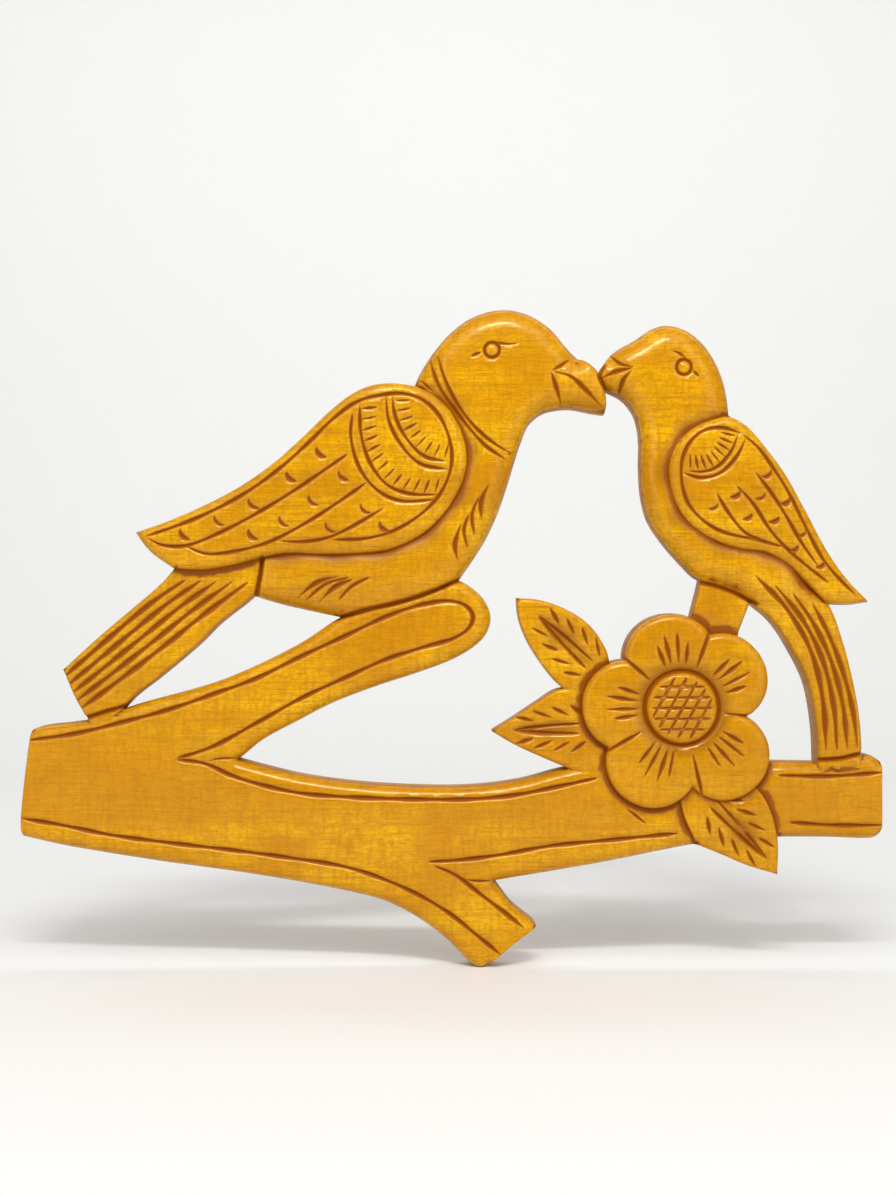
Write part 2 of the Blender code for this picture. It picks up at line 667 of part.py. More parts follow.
def carved_mesh(parts, joins):
    """The board as one closed mesh: the carved front, the sawn walls and the flat back."""
    places, triangles = front_triangles(parts, joins)
    heights = survey(parts, places, with_cuts=True)[1]
    for join in joins:
        heights -= join.depth_at(places)
    bm = bmesh.new()
    verts = {i: bm.verts.new((places[i][0], -heights[i], places[i][1])) for i in np.unique(triangles)}
    for triangle in triangles:
        bm.faces.new([verts[i] for i in triangle])
    rim = [edge for edge in bm.edges if edge.is_boundary]
    walls = bmesh.ops.extrude_edge_only(bm, edges=rim)["geom"]
    for item in walls:
        if isinstance(item, bmesh.types.BMVert):
            item.co.y = 0.0
    back = [item for item in walls if isinstance(item, bmesh.types.BMEdge) and item.is_boundary]
    bmesh.ops.triangle_fill(bm, use_beauty=True, use_dissolve=False, edges=back, normal=(0, 1, 0))
    bmesh.ops.triangulate(bm, faces=bm.faces)
    bmesh.ops.recalc_face_normals(bm, faces=bm.faces)
    mesh = bpy.data.meshes.new("carved_board")
    bm.to_mesh(mesh)
    bm.free()
    mesh.shade_smooth()
    mesh.set_sharp_from_angle(angle=math.radians(SHARP_ANGLE))
    return mesh


def border_cut(points):
    return Cut(points, BORDER_CUT_WIDTH, BORDER_CUT_DEPTH, RUN_OUT)


def feather_cut(points):
    return Cut(points, FEATHER_CUT_WIDTH, FEATHER_CUT_DEPTH, RUN_OUT)


def flute_cut(points):
    """A leaf-shaped stroke, widest at its middle."""
    return Cut(points, FLUTE_WIDTH, FLUTE_DEPTH, PANEL_LENGTH)


def stroke_cut(points):
    """A short fine stroke, widest at its middle."""
    return Cut(points, STROKE_WIDTH, STROKE_DEPTH, PANEL_LENGTH)


def breast_cut(points):
    """A broad leaf-shaped stroke."""
    return Cut(points, BREAST_STROKE_WIDTH, BREAST_STROKE_DEPTH, PANEL_LENGTH)


def tail_flute(points):
    return Cut(points, TAIL_FLUTE_WIDTH, TAIL_FLUTE_DEPTH, TAIL_FLUTE_RUN_OUT)


def beak_cut(points):
    return Cut(points, BEAK_CUT_WIDTH, BEAK_CUT_DEPTH, PANEL_LENGTH)


def wing_hollow(points):
    """The sunk ground along the foot of a wing."""
    return Cut(points, WING_HOLLOW_WIDTH, WING_HOLLOW_DEPTH, RUN_OUT, bend=SUNK_BEND)


def seam_cut(points):
    """A cut from edge to edge where two raised parts meet."""
    return Cut(points, SEAM_WIDTH, SEAM_DEPTH, 0.0)


def ring_cut(centre, radius, width, depth):
    """A round groove."""
    return Cut(ring_points(centre, radius), width, depth, 0.0)


def eye_cut(centre):
    return ring_cut(centre, EYE_RADIUS, EYE_CUT_WIDTH, EYE_CUT_DEPTH)


def outward(centre, direction, distance):
    """The pattern point at a direction in degrees and a distance from a centre."""
    angle = math.radians(direction)
    return (centre[0] + distance * math.cos(angle), centre[1] - distance * math.sin(angle))


def ring_points(centre, radius):
    """Points of the pattern evenly round a circle, the first one repeated at the end."""
    return [outward(centre, 360 * i / RING_POINTS, radius) for i in range(RING_POINTS + 1)]


def between(first, last, count):
    """Lines spread evenly from a first to a last line of the pattern."""
    longest = max(len(first), len(last))
    marks = np.linspace(0, 1, longest)
    ends = []
    for line in (first, last):
        smooth = curve_through(np.array(line, dtype=float))
        own = arc_lengths(smooth) / arc_lengths(smooth)[-1]
        ends.append(np.column_stack([np.interp(marks, own, smooth[:, axis]) for axis in (0, 1)]))
    for share in np.linspace(0, 1, count):
        yield ends[0] + share * (ends[1] - ends[0])


def hatches(arc, focus, count):
    """Short strokes from even places along an arc towards a focus."""
    line = curve_through(np.array(arc, dtype=float))
    along = arc_lengths(line)
    for i in range(count):
        place = along[-1] * (i + 0.5) / count
        foot = np.array([np.interp(place, along, line[:, axis]) for axis in (0, 1)])
        way = (focus - foot) / np.linalg.norm(focus - foot)
        yield stroke_cut([foot + HATCH_CLEAR * way, foot + HATCH_LENGTH * way])


def scales(places, stroke):
    """The same curled stroke at each of the places."""
    return [Cut(np.array(stroke) + place, SCALE_WIDTH, SCALE_DEPTH, PANEL_LENGTH) for place in places]


def disc_hatches():
    """Crossed lines over the disc: level ones, and ones that lean down to the left."""
    for turn in (0, DISC_HATCH_SLANT):
        for i in range(DISC_HATCH_LINES):
            offset = DISC_HATCH_SPACING * (i - (DISC_HATCH_LINES - 1) / 2)
            half = math.sqrt(DISC_RADIUS ** 2 - offset ** 2) - DISC_HATCH_CLEAR
            middle = outward(FLOWER_CENTRE, turn + 90, offset)
            yield Cut([outward(middle, turn, -half), outward(middle, turn, half)],
                      STROKE_WIDTH, STROKE_DEPTH, DISC_HATCH_RUN_OUT)


def petal_points(direction, reach, half_length, half_width):
    """Points of the pattern evenly round a petal, the first one repeated at the end."""
    middle = outward(FLOWER_CENTRE, direction, reach)
    points = []
    for turn in np.linspace(0, 2 * math.pi, RING_POINTS + 1):
        tip = outward(middle, direction, half_length * math.cos(turn))
        points.append(outward(tip, direction + 90, half_width * math.sin(turn)))
    return points


def petal_feet():
    """The sunk ground along the foot of each petal."""
    return [
        Cut(petal_points(*petal), FLOWER_FOOT_WIDTH, FLOWER_FOOT_DEPTH, 0.0, SUNK_BEND)
        for petal in PETALS
    ]


def leaf_point(rib, along, out):
    """The pattern point at a distance along a leaf's rib from its tip, and out to one side of it."""
    begin, end = np.array(rib[0], dtype=float), np.array(rib[-1], dtype=float)
    way = (end - begin) / math.dist(begin, end)
    return begin + along * way + out * np.array([-way[1], way[0]])


def leaf_cuts(rib):
    """Two cuts that leave a raised midrib between them, and veins that run in from the edges."""
    length = math.dist(rib[0], rib[-1])
    for hand in (-1, 1):
        middle = leaf_point(rib, length / 2, hand * LEAF_RIB_WAIST)
        foot = leaf_point(rib, length, hand * LEAF_RIB_SPREAD)
        yield feather_cut([leaf_point(rib, 0, 0), middle, foot])
        for (begin, begin_out), (end, end_out) in zip(LEAF_VEIN_BEGIN, LEAF_VEIN_END):
            edge_end = leaf_point(rib, begin, hand * begin_out)
            yield flute_cut([edge_end, leaf_point(rib, end, hand * end_out)])


def petal_strokes():
    """The strokes that fan out over each petal from the disc, and the cuts between the petals."""
    for direction, begin, end in PETAL_STROKES:
        for turn in PETAL_STROKE_SPREAD:
            foot = outward(FLOWER_CENTRE, direction + turn, begin)
            yield flute_cut([foot, outward(FLOWER_CENTRE, direction + turn, end - abs(turn))])
    for direction, begin, end in PETAL_DIVIDES:
        foot = outward(FLOWER_CENTRE, direction, begin)
        yield feather_cut([foot, outward(FLOWER_CENTRE, direction, end)])


def branch():
    cuts = [border_cut(points) for points in BRANCH_BORDER_CUTS]
    feet = petal_feet()
    for points in LOWER_LEAF_FEET:
        feet.append(Cut(points, FLOWER_FOOT_WIDTH, FLOWER_FOOT_DEPTH, RUN_OUT, SUNK_BEND))
    return [Raised(BRANCH_OUTLINE, BRANCH_SUNK, cuts=cuts, hollows=feet)]


def big_bird():
    """The big bird's tail, its body with the head, and its wing."""
    flutes = [tail_flute(points) for points in between(TAIL_TOP_FLUTE, TAIL_FOOT_FLUTE, TAIL_FLUTES)]
    body_cuts = [feather_cut(points) for points in COLLAR_CUTS]
    body_cuts += [beak_cut(points) for points in BIG_BEAK_CUTS]
    body_cuts += [breast_cut(points) for points in BREAST_CUTS + BELLY_CUTS]
    body_cuts.append(eye_cut(BIG_EYE))
    arcs = (SHOULDER_OUTER_ARC, SHOULDER_INNER_ARC, EPAULETTE_OUTER_ARC, EPAULETTE_INNER_ARC)
    wing_cuts = [feather_cut(points) for points in WING_CUTS + arcs]
    wing_cuts += hatches(SHOULDER_INNER_ARC, HATCH_FOCUS, SHOULDER_HATCHES)
    wing_cuts += hatches(EPAULETTE_INNER_ARC, HATCH_FOCUS, EPAULETTE_HATCHES)
    wing_cuts += scales(SCALES_AT, SCALE_STROKE)
    return [
        Raised(TAIL_OUTLINE, TAIL_SUNK, cuts=flutes),
        Raised(BODY_OUTLINE, BODY_SUNK, BODY_SWELL, BODY_SWELL_REACH, body_cuts,
               [wing_hollow(WING_FOOT)]),
        Raised(WING_OUTLINE, WING_SUNK, WING_SWELL, WING_SWELL_REACH, wing_cuts),
    ]


def small_bird():
    """The small bird's body with its head and tail, and its wing."""
    body_cuts = [beak_cut(points) for points in SMALL_BEAK_CUTS]
    body_cuts += [tail_flute(points) for points in between(
        SMALL_TAIL_INNER_FLUTE, SMALL_TAIL_OUTER_FLUTE, SMALL_TAIL_FLUTES)]
    body_cuts.append(eye_cut(SMALL_EYE))
    arcs = (SMALL_SHOULDER_OUTER_ARC, SMALL_SHOULDER_INNER_ARC)
    wing_cuts = [feather_cut(points) for points in SMALL_WING_CUTS + arcs]
    wing_cuts += hatches(SMALL_SHOULDER_INNER_ARC, SMALL_HATCH_FOCUS, SMALL_HATCHES)
    wing_cuts += scales(SMALL_SCALES_AT, SMALL_SCALE_STROKE)
    return [
        Raised(SMALL_BIRD_OUTLINE, SMALL_BODY_SUNK, BODY_SWELL, BODY_SWELL_REACH, body_cuts,
               [wing_hollow(SMALL_WING_FOOT)]),
        Raised(SMALL_WING_OUTLINE, SMALL_WING_SUNK, WING_SWELL, WING_SWELL_REACH, wing_cuts),
    ]


def flower():
    """The stem, the leaves, the petals round the heart of the flower, and its disc."""
    feet = petal_feet()
    parts = [Raised(STEM_OUTLINE, STEM_SUNK, hollows=feet)]
    for outline, rib, sunk in zip(LEAF_OUTLINES, LEAF_RIBS, LEAVES_SUNK):
        hollow = Cut(rib, LEAF_HOLLOW_WIDTH, LEAF_HOLLOW_DEPTH, PANEL_LENGTH)
        parts.append(Raised(outline, sunk, cuts=leaf_cuts(rib), hollows=[hollow, *feet]))
    cuts = list(petal_strokes())
    cuts.append(ring_cut(FLOWER_CENTRE, DISC_RING_RADIUS, RING_WIDTH, RING_DEPTH))
    hollow = ring_cut(FLOWER_CENTRE, DISC_RING_RADIUS, FLOWER_HOLLOW_WIDTH, FLOWER_HOLLOW_DEPTH)
    for petal in PETALS:
        outline = [(PETAL_EDGE, *petal_points(*petal))]
        parts.append(Raised(outline, FLOWER_SUNK, PETAL_SWELL, PETAL_SWELL_REACH, cuts, [hollow]))
    heart = [(HIDDEN, *ring_points(FLOWER_CENTRE, FLOWER_HEART_RADIUS))]
    parts.append(Raised(heart, FLOWER_SUNK, cuts=cuts, hollows=[hollow]))
    disc = [(CRISP, *ring_points(FLOWER_CENTRE, DISC_RADIUS))]
    parts.append(Raised(disc, DISC_SUNK, DISC_SWELL, DISC_SWELL_REACH, disc_hatches()))
    return parts


def lacquered_wood():
    """Hardwood stained golden yellow, under a clear satin lacquer."""
    material = bpy.data.materials.new("lacquered_wood")
    material.use_nodes = True
    finish = material.node_tree.nodes["Principled BSDF"].inputs
    finish["Base Color"].default_value = WOOD_COLOUR
    finish["Roughness"].default_value = WOOD_ROUGHNESS
    finish["Metallic"].default_value = 0.0
    return material


def main():
    for thing in list(bpy.data.objects):
        bpy.data.objects.remove(thing)
    panel = bpy.data.collections.new("wooden_wall_panel")
    bpy.context.scene.collection.children.link(panel)
    parts = branch() + big_bird() + small_bird() + flower()
    joins = [seam_cut(points) for points in SEAMS]
    board = bpy.data.objects.new("carved_board", carved_mesh(parts, joins))
    board.data.materials.append(lacquered_wood())
    panel.objects.link(board)


main()
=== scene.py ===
import math

import bmesh
import bpy
import numpy as np
from bmesh.types import BMEdge, BMFace, BMVert
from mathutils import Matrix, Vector
from mathutils.geometry import delaunay_2d_cdt
from mathutils.kdtree import KDTree


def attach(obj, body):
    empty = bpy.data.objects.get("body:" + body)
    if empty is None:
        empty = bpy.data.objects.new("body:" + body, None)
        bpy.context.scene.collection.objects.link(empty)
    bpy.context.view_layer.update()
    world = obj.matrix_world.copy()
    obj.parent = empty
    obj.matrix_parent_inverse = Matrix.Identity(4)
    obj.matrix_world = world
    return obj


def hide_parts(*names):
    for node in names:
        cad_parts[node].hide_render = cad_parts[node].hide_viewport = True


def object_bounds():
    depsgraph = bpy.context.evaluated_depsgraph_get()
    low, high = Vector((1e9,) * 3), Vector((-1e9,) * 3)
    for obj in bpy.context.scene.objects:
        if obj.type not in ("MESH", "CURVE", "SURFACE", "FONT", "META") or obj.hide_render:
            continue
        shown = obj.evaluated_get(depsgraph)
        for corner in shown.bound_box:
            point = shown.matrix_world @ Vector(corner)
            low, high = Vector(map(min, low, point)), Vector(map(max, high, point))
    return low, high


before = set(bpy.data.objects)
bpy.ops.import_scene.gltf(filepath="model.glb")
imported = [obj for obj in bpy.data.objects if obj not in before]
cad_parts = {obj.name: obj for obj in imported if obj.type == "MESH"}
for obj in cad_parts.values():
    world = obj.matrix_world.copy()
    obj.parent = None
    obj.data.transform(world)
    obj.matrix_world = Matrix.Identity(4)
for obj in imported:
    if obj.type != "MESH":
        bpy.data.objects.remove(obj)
SOLID_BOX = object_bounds()

# The carved board is one piece of hardwood: its front is a height over the board, from raised parts
# with worked edges less the gouge cuts, and this is the same form as the solid's with finer steps.

# Driving sizes, in metres

PANEL_LENGTH = 0.380
BOARD_THICKNESS = 0.020

# How far each raised part lies below the face of the board
WING_SUNK = 0.0002
SMALL_WING_SUNK = 0.0010
FLOWER_SUNK = 0.0014
DISC_SUNK = 0.0004
BODY_SUNK = 0.0022
SMALL_BODY_SUNK = 0.0026
BRANCH_SUNK = 0.0050
TAIL_SUNK = 0.0056
LEAVES_SUNK = (0.0056, 0.0056, 0.0032)
STEM_SUNK = 0.0078

# How much a part swells above its level, and how far in from its edge it does so
FLAT = (0.0, 1.0)
BODY_SWELL = (0.0022, 0.017)
PETAL_SWELL = (0.0009, 0.009)
DISC_SWELL = (0.0012, 0.013)
WING_SWELL = (0.0005, 0.010)

# Worked edges: the height of the wall at the outline, then the width and depth of the rounding
WALL_HEIGHT = 0.0045
WALL_WIDTH = 0.0005
ROUNDED = (0.0, 0.0055, 0.0048)
BODY_EDGE = (0.0, 0.0085, 0.0062)
CRISP = (0.0, 0.0022, 0.0016)
SAWN = (0.0, 0.0008, 0.0006)
BEADED = (WALL_HEIGHT, 0.0048, 0.0026)
PETAL_EDGE = (WALL_HEIGHT, 0.0030, 0.0018)
PROUD_EDGE = (WALL_HEIGHT, 0.0014, 0.0006)
# A stretch of outline that lies under another part
HIDDEN = None

# Gouge cuts: the width, the depth, and how far from its ends a cut runs out
RUN_OUT = 0.007
# A stroke that runs out over its whole length is widest at its middle
WHOLE_LENGTH = PANEL_LENGTH
BORDER_CUT = (0.0026, 0.0014, RUN_OUT)
FEATHER_CUT = (0.0022, 0.0012, RUN_OUT)
TAIL_FLUTE = (0.0032, 0.0014, 0.012)
BEAK_CUT = (0.0030, 0.0016, WHOLE_LENGTH)
FLUTE = (0.0028, 0.0014, WHOLE_LENGTH)
BREAST_STROKE = (0.0033, 0.0016, WHOLE_LENGTH)
SCALE = (0.0034, 0.0014, WHOLE_LENGTH)
STROKE = (0.0018, 0.0009, WHOLE_LENGTH)
DISC_HATCH = (*STROKE[:2], 0.0018)
SEAM = (0.0030, 0.0020, 0.0)
EYE_RING = (0.0021, 0.0012, 0.0)
DISC_RING = (0.0024, 0.0012, 0.0)
# Sunk grounds: the same three, and how strongly one steepens towards its bottom, as a power
SUNK_BEND = 2
DISC_HOLLOW = (0.016, 0.0016, 0.0)
LEAF_HOLLOW = (0.018, 0.0014, WHOLE_LENGTH)
WING_HOLLOW = (0.020, 0.0018, RUN_OUT, SUNK_BEND)
PETAL_HOLLOW = (0.013, 0.0012, 0.0, SUNK_BEND)
LEAF_FOOT_HOLLOW = (*PETAL_HOLLOW[:2], RUN_OUT, SUNK_BEND)

# The pattern drawing: u runs right and v runs down, and this many units make the panel's length.
PATTERN_LENGTH = 865
WALL_FACE_AT = (475, 478)
UNIT = PANEL_LENGTH / PATTERN_LENGTH

# How closely chords follow a curve, and how far apart the points of the faces are
CURVE_SAG = 0.00003
LONGEST_CHORD = 0.0022
SHORTEST_CHORD = 0.0009
ROUND_CHORDS = 6
CURVE_STEPS = 12
SWELL_GRID = 0.0017
GRID_ROW = SWELL_GRID * math.sqrt(3) / 2
GRID_CLEARANCE = SWELL_GRID / 2
CLEARANCE_STEP = SWELL_GRID / 3
FEWEST_CHORDS = 5
JOINED_POINTS = 0.00006
SHOWING_SLACK = 0.0003
RING_CLEARANCE = 0.93
RING_POINTS = 24
POINTS_AT_A_TIME = 2000
# Shares of a cut's half width at which it needs a line of points on each side of its bottom
CUT_STEPS = (0.45, 1.0)
# Faces that meet at more than this many degrees meet in a sharp edge
SHARP_ANGLE = 50

# The hand-worked surface: how far the faces wander below true, and over what lengths
WORKED_DEPTH = 0.00022
WORKED_LENGTHS = (0.036, 0.029, 0.024, 0.020, 0.017, 0.0145, 0.0125, 0.0105, 0.009)
WORKING_SEED = 7
# How far a gouge stroke's width and depth wander along it, and over what length
STROKE_WANDER = 0.16
STROKE_WANDER_LENGTH = 0.021
STROKE_START_SPREAD = 1000

# Stain with painted shade gathers where the surface lies this far below its surroundings
STAIN_AND_SHADE_DEPTH = 0.00050
STAIN_SMOOTHINGS = 5
# A worked edge gets painted shade at this share of a hollow's darkening, over this many times its width
EDGE_SHADE = 0.2
EDGE_SHADE_REACH = 1.2

# The branch with its stub and its twig

BRANCH_OUTLINE = (
    (ROUNDED, (236, 761), (262, 768), (300, 777), (350, 784), (410, 788), (470, 788), (520, 782),
     (566, 770), (650, 757), (770, 763), (821, 764)),
    (ROUNDED, (821, 764), (840, 758), (862, 756), (875, 757), (884, 763)),
    (SAWN, (884, 763), (884, 785), (884, 834)),
    (ROUNDED, (884, 834), (878, 839), (830, 839), (777, 839), (737, 841), (697, 846), (600, 865),
     (494, 883)),
    (ROUNDED, (494, 883), (511, 906), (524, 917), (532, 923), (537, 929)),
    (SAWN, (537, 929), (520, 941), (490, 966)),
    (ROUNDED, (490, 966), (481, 970), (471, 966), (450, 945), (422, 923), (386, 904), (340, 892),
     (250, 876), (150, 862), (60, 847), (20, 838)),
    (SAWN, (20, 838), (19, 824), (22, 788), (29, 731)),
    (ROUNDED, (29, 731), (36, 728), (86, 721), (132, 706), (210, 684), (250, 668), (300, 643),
     (342, 616), (380, 601), (420, 589), (452, 577)),
    (ROUNDED, (452, 577), (471, 587), (485, 601), (491, 618), (486, 635), (473, 648), (450, 661),
     (415, 674), (378, 686), (331, 704), (296, 722), (261, 741), (236, 761)),
)
BRANCH_BORDER_CUTS = (
    ((26, 741), (75, 734), (120, 723), (165, 711), (217, 693), (255, 679), (300, 657), (345, 636),
     (390, 615), (425, 604), (450, 601), (466, 606), (473, 616), (470, 627), (455, 638), (425, 647),
     (385, 660), (345, 678), (300, 699), (255, 724), (210, 748), (173, 760)),
    ((173, 760), (203, 764), (230, 776), (262, 786), (300, 794), (350, 798), (410, 800), (470, 800),
     (515, 796), (560, 787), (601, 778)),
    ((18, 819), (60, 826), (110, 836), (170, 844), (230, 851), (290, 859), (345, 868), (385, 881),
     (420, 897), (450, 915), (475, 935), (502, 957)),
    ((426, 863), (460, 861), (500, 856), (550, 847), (610, 841), (682, 834)),
    ((432, 866), (455, 876), (480, 895), (505, 914), (526, 931)),
    ((777, 776), (830, 777), (886, 773)),
    ((788, 823), (835, 826), (886, 826)),
)

# The big bird

TAIL_OUTLINE = (
    (CRISP, (61, 670), (97, 637), (130, 609), (160, 583), (180, 560)),
    (HIDDEN, (180, 560), (225, 535), (285, 550), (285, 560)),
    (CRISP, (285, 560), (252, 596), (217, 624), (198, 643), (158, 677), (131, 698), (118, 712)),
    (HIDDEN, (118, 712), (91, 730)),
    (CRISP, (91, 730), (85, 719), (73, 698), (61, 670)),
)
TAIL_FLUTES = 5
TAIL_TOP_FLUTE = ((58, 681), (108, 638), (146, 606), (187, 578))
TAIL_FOOT_FLUTE = ((74, 713), (128, 673), (180, 633), (223, 599), (250, 580))
BODY_OUTLINE = (
    (BODY_EDGE, (412, 391), (419, 373), (430, 355), (446, 335), (465, 319), (485, 310), (508, 307),
     (533, 314), (553, 328), (568, 346), (579, 357)),
    (CRISP, (579, 357), (589, 362), (597, 369), (603, 380), (606, 392), (607, 403), (606, 412)),
    (BODY_EDGE, (606, 412), (588, 409), (572, 406), (557, 407), (543, 411), (530, 422), (522, 440),
     (515, 461), (508, 484), (498, 513), (486, 539), (473, 560), (457, 583)),
    (ROUNDED, (457, 583), (425, 599), (385, 611), (342, 618)),
    (BODY_EDGE, (342, 618), (300, 609), (275, 603), (252, 596)),
    (CRISP, (252, 596), (258, 579), (262, 556)),
    (HIDDEN, (262, 556), (330, 480), (400, 430), (412, 391)),
)
BIG_EYE = (492, 350)
EYE_RADIUS = 7.5
COLLAR_CUTS = (
    ((430, 361), (438, 384), (452, 406), (470, 429), (487, 447), (507, 460)),
    ((438, 356), (444, 377), (458, 405), (476, 428), (495, 444), (511, 453)),
)
BIG_BEAK_CUTS = (
    ((570, 359), (560, 366), (551, 371)),
    ((551, 371), (570, 376), (586, 390), (604, 408)),
    ((551, 371), (556, 386), (562, 405)),
)
BREAST_CUTS = (
    ((458, 561), (455, 545), (462, 521)),
    ((468, 549), (464, 530), (470, 512)),
    ((475, 537), (472, 515), (480, 495)),
    ((482, 521), (481, 502), (490, 482)),
)
BELLY_CUTS = (
    ((297, 598), (318, 582), (341, 576)),
    ((305, 601), (326, 584), (352, 577)),
    ((319, 602), (335, 587), (356, 578)),
    ((337, 602), (351, 587), (372, 576)),
)

# The big bird's wing

WING_FOOT = ((416, 385), (434, 394), (450, 409), (462, 430), (468, 455), (465, 478), (456, 498),
             (440, 520), (418, 538), (390, 550), (360, 554), (320, 555), (285, 554), (262, 558))
WING_OUTLINE = (
    (BEADED, (134, 532), (165, 521), (200, 506), (240, 485), (274, 461), (303, 435), (328, 411),
     (351, 393), (372, 384), (395, 382), (416, 385)),
    (BEADED, *WING_FOOT, (235, 565), (205, 570), (173, 569)),
    (BEADED, (173, 569), (148, 551), (134, 532)),
)
WING_CUTS = (
    ((145, 537), (175, 527), (205, 515), (245, 494), (280, 469), (308, 444), (335, 418), (358, 402),
     (380, 396), (402, 394), (422, 400), (439, 416), (449, 438), (452, 460), (447, 481), (436, 500),
     (415, 519), (389, 533), (364, 539), (330, 540)),
    ((146, 537), (162, 545), (186, 546), (216, 535), (255, 515), (293, 492), (324, 471), (350, 453)),
    ((186, 546), (207, 554), (238, 551), (270, 542), (305, 524), (338, 503), (368, 482)),
    ((278, 541), (302, 542), (328, 538), (352, 527), (386, 507)),
)
# The two arcs of each band of hatches, the outer one first
SHOULDER_ARCS = (
    ((353, 412), (351, 436), (360, 469), (378, 491), (400, 501), (436, 500)),
    ((360, 404), (361, 433), (370, 463), (387, 485), (409, 494), (440, 495)),
)
EPAULETTE_ARCS = (
    ((386, 397), (389, 421), (401, 445), (420, 464), (449, 470)),
    ((392, 396), (396, 419), (408, 441), (425, 457), (449, 462)),
)
HATCH_FOCUS = (462, 399)
HATCH_LENGTH = 19
HATCH_CLEAR = 1
SHOULDER_HATCHES = 13
EPAULETTE_HATCHES = 9
SCALES_AT = (
    (182, 528), (216, 514), (250, 497), (288, 470), (318, 446), (250, 528), (281, 515), (310, 494),
    (340, 469), (327, 521), (362, 502), (381, 520),
)
SCALE_STROKE = ((0, 0), (-1, 5), (3, 10), (11, 12))

# The small bird

SMALL_BIRD_OUTLINE = (
    (BODY_EDGE, (611, 354), (620, 347), (638, 337), (651, 328), (664, 323), (678, 324), (692, 330),
     (704, 340), (714, 353), (723, 371), (729, 392), (732, 418)),
    (HIDDEN, (732, 418), (745, 470), (790, 555), (812, 585)),
    (CRISP, (812, 585), (831, 606), (844, 640), (856, 687), (862, 725), (864, 768)),
    (HIDDEN, (864, 768), (820, 770)),
    (CRISP, (820, 770), (818, 727), (810, 684), (797, 656), (776, 623), (752, 602)),
    (BODY_EDGE, (752, 602), (736, 591), (716, 584), (700, 579), (685, 565), (662, 538), (650, 518),
     (644, 494), (642, 465), (642, 436), (637, 413), (625, 397), (608, 388)),
    (CRISP, (608, 388), (600, 384), (596, 378), (600, 370), (611, 354)),
)
SMALL_EYE = (684, 367)
SMALL_BEAK_CUTS = (
    ((610, 352), (620, 363), (635, 367)),
    ((600, 379), (614, 372), (635, 367)),
    ((633, 369), (624, 379), (619, 396)),
)
SMALL_TAIL_FLUTES = 4
SMALL_TAIL_INNER_FLUTE = ((753, 573), (788, 610), (814, 658), (825, 710), (827, 754))
SMALL_TAIL_OUTER_FLUTE = ((812, 601), (836, 649), (849, 690), (857, 727), (859, 751))

SMALL_WING_FOOT = ((730, 414), (708, 420), (690, 429), (675, 445), (668, 466), (671, 492), (683, 517),
                   (705, 536), (738, 549), (766, 553), (788, 565), (806, 582), (827, 604))
SMALL_WING_OUTLINE = (
    (BEADED, (871, 602), (848, 578), (829, 551), (808, 512), (787, 474), (765, 444), (748, 425),
     (730, 414)),
    (BEADED, *SMALL_WING_FOOT),
    (BEADED, (827, 604), (850, 605), (871, 602)),
)
SMALL_WING_CUTS = (
    ((741, 434), (722, 428), (703, 431), (688, 445), (681, 466), (686, 500), (702, 520), (722, 532),
     (761, 541), (780, 547)),
    ((741, 434), (757, 447), (772, 467), (790, 496), (805, 527), (825, 563), (857, 597)),
    ((753, 470), (770, 492), (786, 517), (801, 543), (818, 567)),
    ((734, 484), (752, 503), (771, 532), (792, 554), (829, 584)),
    ((715, 491), (728, 513), (745, 533), (764, 542), (788, 548)),
)
SMALL_SHOULDER_ARCS = (
    ((746, 437), (736, 457), (720, 473), (701, 478), (682, 473)),
    ((738, 433), (731, 451), (717, 467), (702, 472), (686, 471)),
)
SMALL_HATCH_FOCUS = (689, 425)
SMALL_HATCHES = 9
SMALL_SCALES_AT = (
    (771, 470), (790, 497), (765, 492), (740, 490), (718, 502), (752, 512), (779, 515), (806, 529),
    (798, 544), (825, 560),
)
SMALL_SCALE_STROKE = ((0, 0), (-2, 5), (-5, 7), (-12, 7))

# The flower, its stem and its leaves

STEM_OUTLINE = (
    (CRISP, (705, 560), (702, 583), (694, 615), (688, 645)),
    (HIDDEN, (688, 645), (733, 655)),
    (CRISP, (733, 655), (742, 630), (753, 601), (760, 580)),
    (HIDDEN, (760, 580), (705, 560)),
)
FLOWER_CENTRE = (682, 708)
DISC_RADIUS = 35
DISC_RING_RADIUS = 37.5
DISC_HATCH_SPACING = 10.7
DISC_HATCH_LINES = 5
DISC_HATCH_SLANT = 61
DISC_HATCH_CLEAR = 4
FLOWER_HEART_RADIUS = 50
# Each petal: its direction in degrees, how far out its middle lies, and half its length and width
PETALS = (
    (102, 51, 44.5, 47),
    (35, 53, 43, 46),
    (-48, 66, 44, 46),
    (-118, 62, 46.5, 48),
    (178, 56, 44.5, 46),
)
